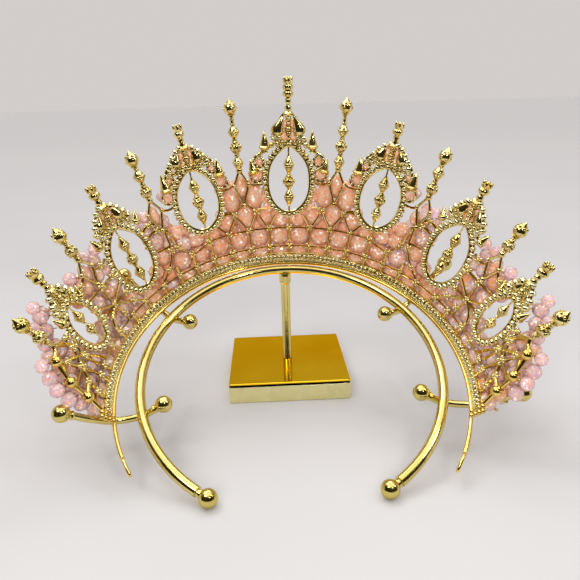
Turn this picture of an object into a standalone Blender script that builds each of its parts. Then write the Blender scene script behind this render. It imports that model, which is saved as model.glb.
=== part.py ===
"""Crown tiara with rose crystal beads, resting on its brass display stand.

The frame has its origin under the middle of the base plate, +Z up. The open side of the crown and of the
stand's ring faces -Y, and the crown's front faces +Y.
"""

import math

import bmesh
import bpy
from mathutils import Matrix, Vector

MM = 0.001
GAP = 0.3 * MM  # clearance between neighbouring pieces

# Stand
BASE_SIDE = 60.0 * MM
BASE_HEIGHT = 10.5 * MM
BASE_EDGE = 0.8 * MM
STEM_RADIUS = 2.3 * MM
COLLAR_RADIUS = 2.9 * MM
COLLAR_HEIGHT = 5.0 * MM
RING_RADIUS = 65.0 * MM
RING_ROD = 2.2 * MM
RING_TILT = math.radians(27.5)
RING_END = math.radians(148.7)
FOOT_BALL = 3.7 * MM
NECK_RADIUS = 1.5 * MM
BAR_ROD = 1.5 * MM
BAR_BALL = 3.6 * MM
UPPER_BAR_ANGLE = math.radians(55.7)
LOWER_BAR_ANGLE = math.radians(104.4)

# Crown wall: a cone standing on the headband, leaning out more towards its ends
BAND_RADIUS = 75.0 * MM
BAND_WIRE = 0.9 * MM
BAND_END = math.radians(118.0)
BAND_AHEAD_OF_RING = 4.8 * MM  # how far the band's top lies beyond the ring's top
LEAN = math.radians(64.5)
LEAN_LOSS = math.radians(1.0)
EYE_LENGTH = 8.0 * MM
EYE_WIDTH = 3.4 * MM
EYE_WIRE = 0.7 * MM
TIARA_TURN = math.radians(2.1)  # the tiara sits a little turned on its bars

# Crown net
NET_END = 102.0
NET_THICK = 1.2 * MM
NET_WIRE = 0.55 * MM
WIRE_STAGGER = 0.17 * MM  # crossing wires lie a little before or behind each other
POST_WIDTH = 1.0 * MM
LONGEST_CELL = 9.8
ARCH_CLEARANCE = 2.3 * MM
CUT_END_REACH = 0.6 * MM  # a wire that ends at an arch reaches this much nearer to it

# Cut beads
BEAD_RADIUS = 4.0 * MM
BEAD_TABLE = 2.0 * MM
BEAD_HALF = 3.3 * MM
BEAD_DEPTH = 3.05 * MM
BEAD_SIDES = 7

# Arches
ARCH_WIRE = 1.3 * MM
ARCH_WIDEST = 0.46
ARCH_POINT = 2.8
SPINDLE_TURN = 0.35  # keeps the strings' corners off the arches' plane of symmetry

# name, angle (degrees), opening bottom, opening top, half width, crest top, tip (mm)
ARCHES = (
    ("arch_centre", 0.0, 27.2, 59.5, 10.0, 75.0, 91.0),
    ("arch_inner", 28.5, 25.5, 55.0, 9.8, 66.0, 76.5),
    ("arch_middle", 55.0, 15.5, 45.5, 9.2, 57.0, 67.0),
    ("arch_outer", 80.0, 14.5, 37.0, 6.6, 47.0, 58.0),
)

# name, angle (degrees), foot of the diamond, its top, tip, middles of the beads (mm); the last has no diamond
SPIRES = (
    ("spire_first", 14.5, 32.0, 49.5, 82.0, (67.6, 60.3, 53.0)),
    ("spire_second", 42.1, 33.0, 48.5, 71.5, (60.0, 52.4)),
    ("spire_third", 68.6, 31.5, 45.5, 61.5, (50.0,)),
    ("spire_fourth", 91.6, 34.4, 34.4, 53.0, (41.0,)),
)

# Rows of the pierced strip on the right half: lower edge, upper edge (mm), and how far a wire runs (degrees)
ROWS = (
    (1.2, 4.6, NET_END),
    (4.6, 8.8, 0.0),
    (8.8, 9.8, NET_END),
    (9.8, 13.8, 0.0),
    (13.8, 14.6, 43.0),
    (14.6, 18.5, 0.0),
    (18.5, 19.5, 29.0),
)

# Posts of the pierced strip: angle (degrees), upper end (mm)
POSTS = (
    (0.5, 19.5),
    (7.1, 19.5),
    (14.2, 19.5),
    (21.3, 19.5),
    (28.5, 19.5),
    (35.6, 14.6),
    (42.6, 14.6),
    (65.6, 9.8),
    (73.5, 9.8),
    (87.4, 9.8),
    (96.0, 9.8),
)

# Free wires on the right half: angle (degrees), height (mm)
RIBS = (
    ((28.2, 19.1), (32.0, 16.8), (35.6, 16.0), (39.4, 22.0), (41.2, 31.8)),
    ((7.3, 19.2), (4.0, 27.0)),
    ((6.9, 19.2), (10.2, 25.0), (10.7, 36.0), (10.2, 44.4)),
    ((14.2, 19.2), (14.5, 30.9)),
    ((14.0, 19.2), (18.6, 25.0), (18.2, 36.0), (18.7, 44.0)),
    ((21.1, 19.2), (25.0, 25.0)),
    ((41.4, 31.8), (42.3, 22.0), (46.0, 14.6), (49.8, 9.0)),
    ((35.0, 26.4), (46.6, 26.4)),
    ((59.0, 29.6), (76.0, 29.6)),
    ((62.0, 24.6), (75.0, 24.6)),
    ((59.0, 19.6), (76.0, 19.6)),
    ((62.0, 14.4), (75.0, 14.4)),
    ((68.4, 30.4), (68.8, 19.6), (67.6, 9.2)),
    ((82.0, 19.6), (98.6, 19.6)),
    ((91.4, 20.2), (91.0, 14.4), (90.6, 9.2)),
    ((88.2, 18.9), (88.0, 27.0)),
    ((91.8, 33.5), (94.8, 31.0), (98.2, 22.6), (99.9, 13.6), (101.4, 3.4)),
    ((91.6, 18.4), (92.6, 26.0)),
)

# Large cut beads on the right half: angle (degrees), height (mm)
LARGE_BEADS = (
    (3.55, 5.4),
    (10.65, 5.4),
    (17.75, 5.4),
    (24.85, 5.4),
    (32.0, 5.4),
    (39.0, 5.4),
    (46.0, 5.4),
    (3.55, 14.2),
    (10.65, 14.2),
    (17.75, 14.2),
    (24.85, 14.2),
    (32.2, 14.2),
    (39.0, 14.2),
    (14.4, 24.8),
    (10.8, 35.2),
    (18.2, 35.2),
    (10.2, 43.8),
    (18.7, 43.4),
    (39.0, 26.4),
    (43.9, 26.4),
    (62.6, 5.4),
    (69.8, 5.4),
    (77.0, 5.4),
    (84.0, 5.4),
    (93.0, 5.4),
    (65.4, 24.6),
    (71.6, 24.6),
    (66.5, 14.4),
    (90.6, 14.4),
    (88.2, 24.6),
    (92.8, 25.2),
)

# Gold balls along the net's end on the right half: angle (degrees), height (mm)
END_BALLS = (
    (94.8, 31.0),
    (98.2, 22.6),
    (99.9, 13.6),
)
END_BALL = 2.3 * MM


def clear_scene():
    for thing in list(bpy.data.objects):
        bpy.data.objects.remove(thing)


def make_material(name, colour, roughness, metallic):
    material = bpy.data.materials.new(name)
    material.use_nodes = True
    shader = material.node_tree.nodes["Principled BSDF"]
    shader.inputs["Base Color"].default_value = (*colour, 1.0)
    shader.inputs["Roughness"].default_value = roughness
    shader.inputs["Metallic"].default_value = metallic
    return material


# The tilted plane that holds the ring and the headband
SIDEWAYS = Vector((1, 0, 0))
UPHILL = Vector((0, math.cos(RING_TILT), math.sin(RING_TILT)))
OVER = Vector((0, -math.sin(RING_TILT), math.cos(RING_TILT)))
RING_TOP = FOOT_BALL + RING_RADIUS * math.sin(RING_TILT) * (1 - math.cos(RING_END))
RING_CENTRE = Vector((0, 0, RING_TOP)) - RING_RADIUS * UPHILL
BAND_CENTRE = RING_CENTRE + (RING_RADIUS + BAND_AHEAD_OF_RING - BAND_RADIUS) * UPHILL


def outward(angle):
    return math.sin(angle) * SIDEWAYS + math.cos(angle) * UPHILL


def along(angle):
    return math.cos(angle) * SIDEWAYS - math.sin(angle) * UPHILL


def wall_lean(angle):
    return LEAN - LEAN_LOSS * angle**4


def wall_axes(angle):
    """Along the band, up the wall, and out of its front."""
    lean = wall_lean(angle)
    up = math.cos(lean) * outward(angle) + math.sin(lean) * OVER
    front = math.sin(lean) * outward(angle) - math.cos(lean) * OVER
    return along(angle), up, front


def wall_point(angle, height, depth=0.0):
    _, up, front = wall_axes(angle)
    return BAND_CENTRE + BAND_RADIUS * outward(angle) + height * up + depth * front


def wall_radius(angle, height):
    return BAND_RADIUS + height * math.cos(wall_lean(angle))


def chart_point(degrees, height_mm, depth=0.0):
    return wall_point(math.radians(degrees), height_mm * MM, depth)


def beside(degrees, across, height, depth=0.0):
    """The wall point that lies a distance across to the side of an axis."""
    angle = math.radians(degrees)
    return wall_point(angle + across / wall_radius(angle, height), height, depth)


def standing(degrees, height_mm, depth=0.0):
    """A matrix whose Z runs up the wall and whose Y runs out of its back."""
    side, up, _ = wall_axes(math.radians(degrees))
    axes = Matrix((side, up.cross(side), up)).transposed().to_4x4()
    return Matrix.Translation(chart_point(degrees, height_mm, depth)) @ axes


def facing(degrees, height_mm, depth):
    """A matrix whose Z runs out of the wall's front."""
    side, up, front = wall_axes(math.radians(degrees))
    axes = Matrix((up, side, up.cross(side))).transposed().to_4x4()
    if axes.to_3x3().col[2].dot(front) < 0:
        axes = Matrix((side, up, side.cross(up))).transposed().to_4x4()
    return Matrix.Translation(chart_point(degrees, height_mm, depth)) @ axes


def pointing(position, direction):
    """A matrix whose Z runs along a direction."""
    turn = direction.to_track_quat("Z", "Y").to_matrix().to_4x4()
    return Matrix.Translation(position) @ turn


def link(thing, collection, material=None):
    collection.objects.link(thing)
    if material is not None:
        thing.data.materials.clear()
        thing.data.materials.append(material)
    return thing


def meshed(thing, name, weld=1e-6):
    """The evaluated object as a mesh object, with its caps welded. The first object is removed."""
    bpy.context.view_layer.update()
    graph = bpy.context.evaluated_depsgraph_get()
    mesh = bpy.data.meshes.new_from_object(thing.evaluated_get(graph))
    matrix = thing.matrix_world.copy()
    bpy.data.objects.remove(thing)
    work = bmesh.new()
    work.from_mesh(mesh)
    bmesh.ops.remove_doubles(work, verts=work.verts, dist=weld)
    work.to_mesh(mesh)
    work.free()
    made = bpy.data.objects.new(name, mesh)
    made.matrix_world = matrix
    return made


def tube(name, points, radius, resolution=2, closed=False):
    """A round wire through points, as a mesh object that is linked to the workshop."""
    curve = bpy.data.curves.new(name, "CURVE")
    curve.dimensions = "3D"
    curve.bevel_depth = radius
    curve.bevel_resolution = resolution
    curve.use_fill_caps = not closed
    spline = curve.splines.new("POLY")
    spline.points.add(len(points) - 1)
    for place, point in zip(spline.points, points):
        place.co = (*point, 1)
    spline.use_cyclic_u = closed
    made = meshed(link(bpy.data.objects.new(name, curve), WORKSHOP), name)
    return link(made, WORKSHOP)


def turned(name, profile, sides, matrix=None):
    """A solid of revolution about Z. The profile is (radius, height), from its top to its bottom."""
    mesh = bpy.data.meshes.new(name)
    corners = [(radius, 0, height) for radius, height in profile]
    mesh.from_pydata(corners, [(i, i + 1) for i in range(len(corners) - 1)], [])
    blank = link(bpy.data.objects.new(name, mesh), WORKSHOP)
    screw = blank.modifiers.new("turn", "SCREW")
    screw.steps = screw.render_steps = sides
    screw.use_merge_vertices = True
    screw.merge_threshold = 1e-5
    made = link(meshed(blank, name), WORKSHOP)
    if matrix is not None:
        made.data.transform(matrix)
    return made


def ball_profile(radius, rings, neck=None):
    """Half a circle. A neck is (radius, reach) from the centre up the axis."""
    turns = [math.pi * i / rings for i in range(rings + 1)]
    points = [(radius * math.sin(turn), radius * math.cos(turn)) for turn in turns]
    points[0] = (0.0, radius)
    points[-1] = (0.0, -radius)
    if neck:
        thick, reach = neck
        meets = math.sqrt(radius**2 - thick**2)
        points = [p for p in points if p[0] > thick or p[1] < 0]
        points = [(0.0, reach), (thick, reach), (thick, meets), *points]
    return points


def joined(name, pieces):
    """The Boolean union of mesh objects, baked into one mesh object in the workshop."""
    first, others = pieces[0], pieces[1:]
    operands = bpy.data.collections.new(name + "_operands")
    for piece in others:
        operands.objects.link(piece)
    union = first.modifiers.new("join", "BOOLEAN")
    union.operation = "UNION"
    union.operand_type = "COLLECTION"
    union.collection = operands
    union.solver = "EXACT"
    made = meshed(first, name)
    for piece in others:
        bpy.data.objects.remove(piece)
    bpy.data.collections.remove(operands)
    return link(made, WORKSHOP)


def finish(thing, name, material, angle=math.radians(35)):
    """Moves a workshop object into the model under its final name."""
    WORKSHOP.objects.unlink(thing)
    thing.name = name
    thing.data.name = name
    thing.data.shade_smooth()
    thing.data.set_sharp_from_angle(angle=angle)
    return link(thing, MODEL, material)


def mirrored(thing, name):
    """The other side's copy, which shares the mesh."""
    copy = bpy.data.objects.new(name, thing.data)
    copy.matrix_world = Matrix.Scale(-1, 4, SIDEWAYS) @ thing.matrix_world
    MODEL.objects.link(copy)
    return copy


def steps_between(start, end, longest):
    count = max(1, math.ceil(abs(end - start) / longest))
    return [start + (end - start) * i / count for i in range(count + 1)]


def smooth_route(points, per_span=4):
    """A Catmull-Rom curve through a few points."""
    points = [Vector(p) for p in points]
    ends = [2 * points[0] - points[1], *points, 2 * points[-1] - points[-2]]
    route = []
    for before, here, there, after in zip(ends, ends[1:], ends[2:], ends[3:]):
        for i in range(per_span):
            t = i / per_span
            bend = 2 * here + (there - before) * t + (2 * before - 5 * here + 4 * there - after) * t**2
            route.append((bend + (3 * here - before - 3 * there + after) * t**3) / 2)
    return [*route, points[-1]]


# Stand


def make_base():
    bpy.ops.mesh.primitive_cube_add(size=1, location=(0, 0, BASE_HEIGHT / 2))
    plate = bpy.context.active_object
    plate.data.transform(Matrix.Diagonal((BASE_SIDE, BASE_SIDE, BASE_HEIGHT, 1)))
    for owner in list(plate.users_collection):
        owner.objects.unlink(plate)
    WORKSHOP.objects.link(plate)
    bevel = plate.modifiers.new("edge", "BEVEL")
    bevel.width = BASE_EDGE
    bevel.segments = 1
    finish(plate, "stand_base", BRASS)


def make_stem():
    top = RING_TOP - RING_ROD - GAP
    bottom = BASE_HEIGHT + GAP
    profile = [
        (0, top),
        (COLLAR_RADIUS, top),
        (COLLAR_RADIUS, top - COLLAR_HEIGHT),
        (STEM_RADIUS, top - COLLAR_HEIGHT - 0.5 * MM),
        (STEM_RADIUS, bottom),
        (0, bottom),
    ]
    finish(turned("stem", profile, 12), "stand_stem", BRASS)


def ring_point(angle, radius=RING_RADIUS, rise=0.0):
    return RING_CENTRE + radius * outward(angle) + rise * OVER


def make_ring():
    reach = FOOT_BALL + 2 * GAP
    end = RING_END - reach / RING_RADIUS
    angles = steps_between(-end, end, math.radians(12))
    finish(tube("ring", [ring_point(a) for a in angles], RING_ROD, 2), "stand_ring", BRASS)
    neck = (NECK_RADIUS, reach - GAP)
    ball = turned("ball", ball_profile(FOOT_BALL, 5, neck), 10)
    ball.data.transform(pointing(ring_point(RING_END), -along(RING_END)))
    right = finish(ball, "ring_ball_right", BRASS)
    mirrored(right, "ring_ball_left")


def band_reach(angle):
    """Distance from the ring's centre to the headband at an angle about the ring's centre."""
    shift = RING_RADIUS + BAND_AHEAD_OF_RING - BAND_RADIUS
    return shift * math.cos(angle) + math.sqrt(BAND_RADIUS**2 - (shift * math.sin(angle)) ** 2)


def make_bar(name, angle):
    """A bent bar that passes under the ring and carries the headband, with a ball at each end."""
    carried = band_reach(angle)
    under_ring = -(RING_ROD + BAR_ROD + GAP)
    under_band = -(BAND_WIRE + BAR_ROD + GAP)
    profile = (
        (55.7 * MM, 0.4 * MM),
        (RING_RADIUS, under_ring),
        (carried, under_band),
        (carried + 9.0 * MM, 3.2 * MM),
        (94.0 * MM, 11.2 * MM),
    )
    route = smooth_route([ring_point(angle, radius, rise) for radius, rise in profile], 2)
    rod = tube("rod", route, BAR_ROD, 1)
    inner = turned("inner", ball_profile(BAR_BALL, 5), 8)
    inner.data.transform(pointing(route[0], route[0] - route[1]))
    outer = turned("outer", ball_profile(BAR_BALL, 5), 8)
    outer.data.transform(pointing(route[-1], route[-1] - route[-2]))
    right = finish(joined(name, [rod, inner, outer]), name + "_right", BRASS)
    mirrored(right, name + "_left")


# Headband


def make_headband():
    angles = steps_between(-BAND_END, BAND_END, math.radians(9.0))
    wire = tube("wire", [wall_point(a, 0) for a in angles], BAND_WIRE, 1)
    pieces = [wire]
    for side in (-1, 1):
        angle = side * (BAND_END + EYE_LENGTH / 2 / BAND_RADIUS)
        centre = wall_point(angle, 0)
        direction = along(angle)
        loop = []
        for i in range(8):
            turn = 2 * math.pi * i / 8
            lengthwise = EYE_LENGTH / 2 * math.cos(turn) * direction
            loop.append(centre + lengthwise + EYE_WIDTH / 2 * math.sin(turn) * OVER)
        pieces.append(tube("eye", loop, EYE_WIRE, 0, closed=True))
    finish(joined("headband", pieces), "headband", BRASS)


# Arches


def arch_half_width(share):
    """Half the opening's width at a share of its height, for a half width of 1."""
    if share < ARCH_WIDEST:
        return math.sqrt(max(0.0, 1 - (1 - share / ARCH_WIDEST) ** 2))
    return 1 - ((share - ARCH_WIDEST) / (1 - ARCH_WIDEST)) ** ARCH_POINT


def arch_outline(bottom, top, half, offset=0.0):
    """The right side of an opening as (across, height) in metres, from its bottom to its top."""
    shares = [ARCH_WIDEST * (1 - math.cos(math.pi / 2 * i / 4)) for i in range(5)]
    shares += [ARCH_WIDEST + (1 - ARCH_WIDEST) * i / 5 for i in range(1, 6)]
    side = [(half * MM * arch_half_width(s), (bottom + (top - bottom) * s) * MM) for s in shares]
    middle = ((top + bottom) / 2 - 0.1 * (top - bottom)) * MM
    grown = []
    for across, height in side:
        away = Vector((across, height - middle))
        grown.append(Vector((across, height)) + offset * away.normalized())
    return grown


def spindle_profile(bottom, top, crest, tip):
    """The bead string inside an opening and the ringed finial over it, in one, from the tip down."""
    tall = tip - crest
    cap = ((0.0, 1.0), (1.5, 0.995), (1.1, 0.86), (1.75, 0.72))
    shaft = ((0.9, 0.5), (0.9, 0.22), (1.9, 0.04), (0.9, -0.1))
    points = [(radius, crest + tall * share) for radius, share in (*cap, *shaft)]
    for share, radius, reach in ((0.70, 2.0, 3.6), (0.47, 2.3, 2.3), (0.25, 1.9, 3.2)):
        centre = bottom + (top - bottom) * share
        half = min(reach, 0.1 * (top - bottom))
        points += [(0.5, centre + half), (radius, centre), (0.5, centre - half)]
    points += [(0.5, bottom - 1.0), (0.0, bottom - 1.0)]
    return [(radius * MM, height * MM) for radius, height in points]


def make_arch(name, angle, bottom, top, half, crest, tip):
    pieces = []
    side = arch_outline(bottom, top, half, ARCH_WIRE)
    ring = [(a, h) for a, h in side] + [(-a, h) for a, h in reversed(side[1:-1])]
    pieces.append(tube("ring", [beside(angle, a, h) for a, h in ring], ARCH_WIRE, 0, closed=True))
    size = half / 10.0
    rise = crest - top
    dome = ((4.6, crest - 0.32 * rise), (2.4, crest - 0.09 * rise), (0.0, crest - 0.03 * rise))
    arm = ((12.6, top - 6.8), (6.2, top - 1.4), (0.0, top + 1.0))
    foot = ((1.7, top + 0.7), (2.6, crest - 0.56 * rise))
    for bend, wire in (((*foot, *dome), 1.2 * MM), (arm, 1.15 * MM)):
        both = [*bend, *[(-across, height) for across, height in reversed(bend[:-1])]]
        bow = [beside(angle, across * size * MM, height * MM) for across, height in both]
        pieces.append(tube("bow", bow, wire, 0))
    for hand in (-1, 1):
        spike = turned("spike", [(0.0, 7.0 * size * MM), (1.6 * size * MM, 0.0), (0.0, -1.6 * size * MM)], 4)
        turn = angle + hand * math.degrees(6.3 * size * MM / wall_radius(math.radians(angle), top * MM))
        spike.data.transform(standing(turn, top - 0.6))
        pieces.append(spike)
    upright = standing(angle, 0) @ Matrix.Rotation(SPINDLE_TURN, 4, "Z")
    pieces.append(turned("spindle", spindle_profile(bottom, top, crest, tip), 5, upright))
    made = finish(joined(name, pieces), name if angle == 0 else name + "_right", BRASS)
    if angle:
        mirrored(made, name + "_left")


# Spires


def spire_profile(foot, tip, beads):
    """Bicone beads below a ball with a pointed cap, from the tip down."""
    points = [(0.0, tip), (1.9, tip - 2.0), (2.7, tip - 3.4), (1.7, tip - 5.2), (0.75, tip - 6.6)]
    for middle in beads:
        points += [(0.8, middle + 2.8), (2.2, middle), (0.8, middle - 2.8)]
    points += [(0.8, foot), (0.0, foot)]
    return [(radius * MM, height * MM) for radius, height in points]


def make_spire(name, angle, foot, top, tip, beads):
    has_diamond = top > foot
    seat = top - 0.9 if has_diamond else foot
    pieces = [turned("beads", spire_profile(seat, tip, beads), 6, standing(angle, 0))]
    if has_diamond:
        waist = top - 0.42 * (top - foot)
        corners = ((0.0, top), (3.6, waist), (0.0, foot), (-3.6, waist))
        diamond = [beside(angle, across * MM, height * MM) for across, height in corners]
        pieces.append(tube("diamond", diamond, 0.65 * MM, 0, closed=True))
    right = finish(joined(name, pieces) if has_diamond else pieces[0], name + "_right", BRASS)
    mirrored(right, name + "_left")


# Net


def arch_centrelines():
    """Each arch's wire as (angle in degrees, height in mm) turned into flat metres on the wall's chart."""
    lines = []
    for _, angle, bottom, top, half, _, _ in ARCHES:
        side = arch_outline(bottom, top, half, ARCH_WIRE)
        for hand in (-1, 1):
            lines.append([beside(angle, hand * a, h) for a, h in side])
    return lines


def near_any(point, lines, distance):
    for line in lines:
        for start, end in zip(line, line[1:]):
            run = end - start
            share = max(0.0, min(1.0, (point - start).dot(run) / run.length_squared))
            if (point - start - share * run).length < distance:
                return True
    return False


def inside_arch(degrees, height_mm):
    for _, angle, bottom, top, half, _, _ in ARCHES:
        share = (height_mm - bottom) / (top - bottom)
        if 0 < share < 1:
            across = abs(math.radians(degrees - angle)) * wall_radius(math.radians(angle), height_mm * MM)
            if across < half * MM * arch_half_width(share):
                return True
    return False


def clear_stretch(route, lines, depth):
    """The longest stretch of a rib that keeps clear of the arches."""
    fine = []
    for (a0, h0), (a1, h1) in zip(route, route[1:]):
        count = max(2, math.ceil(math.hypot((a1 - a0) * 1.5, h1 - h0) / 0.25))
        fine += [(a0 + (a1 - a0) * i / count, h0 + (h1 - h0) * i / count, i == 0) for i in range(count)]
    fine.append((*route[-1], True))
    runs, run = [], []
    for degrees, height, corner in fine:
        if near_any(chart_point(degrees, height), lines, ARCH_CLEARANCE) or inside_arch(degrees, height):
            runs.append(run)
            run = []
        else:
            run.append((degrees, height, corner))
    best = max([*runs, run], key=len)
    kept = [best[0]]
    for place in best[1:-1]:
        if place[2] or abs(place[0] - kept[-1][0]) > 6.5:
            kept.append(place)
    points = [chart_point(degrees, height, depth) for degrees, height, _ in [*kept, best[-1]]]
    if best[0] != fine[0]:
        points[0] += CUT_END_REACH * (points[0] - points[1]).normalized()
    if best[-1] != fine[-1]:
        points[-1] += CUT_END_REACH * (points[-1] - points[-2]).normalized()
    return points


def strip_columns():
    """The pierced strip's columns from its middle outwards: start, end (degrees), top of its post or 0."""
    half = math.degrees(POST_WIDTH / 2 / BAND_RADIUS)
    columns = []
    last = math.degrees(GAP / 2 / BAND_RADIUS)
    for angle, top in (*POSTS, (NET_END + half, 0.0)):
        start = max(angle - half, last)
        if start > last:
            edges = steps_between(last, start, LONGEST_CELL)
            columns += [(a, b, 0.0) for a, b in zip(edges, edges[1:])]
        if top:
            columns.append((start, angle + half, top))
        last = angle + half
    return columns


def make_strip():
    """The border, the rails and the posts: one pierced sheet bent onto the wall, with thickness."""
    work = bmesh.new()
    corners = {}
    for start, end, top in strip_columns():
        for low, high, reach in ROWS:
            if end <= reach + 0.01 or top >= high:
                face = []
                for place in ((start, low), (end, low), (end, high), (start, high)):
                    if place not in corners:
                        corners[place] = work.verts.new(chart_point(*place))
                    face.append(corners[place])
                work.faces.new(face)
    mesh = bpy.data.meshes.new("strip")
    work.to_mesh(mesh)
    work.free()
    sheet = link(bpy.data.objects.new("strip", mesh), WORKSHOP)
    thick = sheet.modifiers.new("thickness", "SOLIDIFY")
    thick.thickness = NET_THICK
    thick.offset = 0
    return link(meshed(sheet, "strip"), WORKSHOP)


def make_net():
    lines = arch_centrelines()
    pieces = [make_strip()]
    for i, route in enumerate(RIBS):
        depth = (i % 3 - 1) * WIRE_STAGGER
        pieces.append(tube("rib", clear_stretch(route, lines, depth), NET_WIRE, 0))
    upper = [(0.0, BEAD_HALF), (BEAD_TABLE, BEAD_HALF), (BEAD_RADIUS, 0.0)]
    cut = [*upper, (BEAD_TABLE, -BEAD_HALF), (0.0, -BEAD_HALF)]
    for degrees, height in LARGE_BEADS:
        pieces.append(turned("bead", cut, BEAD_SIDES, facing(degrees, height, BEAD_DEPTH)))
    for degrees, height in END_BALLS:
        pieces.append(turned("ball", ball_profile(END_BALL, 4), 6, standing(degrees, height)))
    right = finish(joined("net", pieces), "crystal_net_right", CRYSTAL, math.radians(15))
    mirrored(right, "crystal_net_left")


def turn_tiara():
    """Turns the tiara's pieces about the headband's axis."""
    turn = Matrix.Rotation(-TIARA_TURN, 4, OVER)
    turn = Matrix.Translation(BAND_CENTRE) @ turn @ Matrix.Translation(-BAND_CENTRE)
    for thing in MODEL.objects:
        if thing.name.startswith(("headband", "arch", "spire", "crystal")):
            thing.matrix_world = turn @ thing.matrix_world


clear_scene()
WORKSHOP = bpy.data.collections.new("Workshop")
MODEL = bpy.data.collections.new("Tiara on display stand")
bpy.context.scene.collection.children.link(WORKSHOP)
bpy.context.scene.collection.children.link(MODEL)
BRASS = make_material("Polished gold plating", (0.83, 0.60, 0.22), 0.16, 1.0)
CRYSTAL = make_material("Rose crystal", (0.94, 0.62, 0.60), 0.05, 0.0)

make_base()
make_stem()
make_ring()
make_bar("upper_bar", UPPER_BAR_ANGLE)
make_bar("lower_bar", LOWER_BAR_ANGLE)
make_headband()
for row in ARCHES:
    make_arch(*row)
for row in SPIRES:
    make_spire(*row)
make_net()
turn_tiara()
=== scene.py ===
"""The looks of a crown tiara with rose crystals that rests on its gold-plated display stand.

Forms are worked out in millimetres in the CAD's frame and turned into metres when a mesh is made. Most of the
tiara is laid out on a chart of its wall: an angle in degrees round the headband, a height up the wall, and a
depth out of its front, away from the open side.
"""

import random
from math import atan2, cos, hypot, pi, radians, sin, sqrt

import bpy
import numpy as np
from mathutils import Matrix, Vector


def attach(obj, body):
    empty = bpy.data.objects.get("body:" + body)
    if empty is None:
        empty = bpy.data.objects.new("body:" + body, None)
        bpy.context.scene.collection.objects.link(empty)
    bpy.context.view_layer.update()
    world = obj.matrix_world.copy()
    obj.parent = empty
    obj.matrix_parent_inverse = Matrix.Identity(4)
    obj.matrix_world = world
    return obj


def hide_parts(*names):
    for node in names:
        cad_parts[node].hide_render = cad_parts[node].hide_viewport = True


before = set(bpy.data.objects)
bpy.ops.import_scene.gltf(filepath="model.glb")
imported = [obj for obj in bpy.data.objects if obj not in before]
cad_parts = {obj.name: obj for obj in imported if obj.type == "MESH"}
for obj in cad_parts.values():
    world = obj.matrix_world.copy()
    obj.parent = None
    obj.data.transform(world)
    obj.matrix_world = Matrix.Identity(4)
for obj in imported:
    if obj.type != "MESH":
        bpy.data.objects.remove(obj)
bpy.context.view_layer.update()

MM = 0.001
SIDES = (1, -1)
HANDS = ((1, "right"), (-1, "left"))

# Stand
BASE_SIDE = 60.0
BASE_HEIGHT = 10.5
BASE_EDGE = 0.8
RING_RADIUS = 65.0
RING_ROD = 2.2
RING_TILT = radians(27.5)
RING_END = radians(148.7)
FOOT_BALL = 3.7
STEM_RADIUS = 2.3
COLLAR_RADIUS = 2.9
BAR_ROD = 1.5
BAR_BALL = 3.6
UPPER_BAR_ANGLE = radians(55.7)
LOWER_BAR_ANGLE = radians(104.4)

# Crown wall
BAND_RADIUS = 75.0
BAND_WIRE = 0.9
BAND_END = 118.0
BAND_AHEAD_OF_RING = 4.8
LEAN = radians(64.5)
LEAN_LOSS = radians(1.0)
EYE_LENGTH = 8.0
EYE_WIDTH = 3.4
EYE_WIRE = 0.7
TIARA_TURN = radians(2.1)  # the tiara sits a little turned on its bars

# Net
NET_END = 103.5
LOW_RAIL = 9.3
HIGH_RAIL = 19.0
CUP_PITCH = 1.62
CUP_HEIGHT = 3.35
NET_WIRE = 0.43
JOINT_BALL = 1.45

# Arches: name, angle, opening bottom, opening top, half width, crest top, tip
ARCHES = (
    ("arch_centre", 0, 27.2, 59.5, 10, 75, 91),
    ("arch_inner", 28.5, 25.5, 55, 9.8, 66, 76.5),
    ("arch_middle", 55, 15.5, 45.5, 9.2, 57, 67),
    ("arch_outer", 80, 14.5, 37, 6.6, 47, 58),
)
ARCH_WIDEST = 0.46
ARCH_POINT = 2.8
GRANULE_PITCH = 2.55

# Spires: name, angle, foot of the diamond, its top, tip, middles of the beads; the last has no diamond
SPIRES = (
    ("spire_first", 14.5, 32, 49.5, 82, (67.6, 60.3, 53)),
    ("spire_second", 42.1, 33, 48.5, 71.5, (60, 52.4)),
    ("spire_third", 68.6, 31.5, 45.5, 61.5, (50,)),
    ("spire_fourth", 91.6, 34.4, 34.4, 53, (41,)),
)

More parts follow.
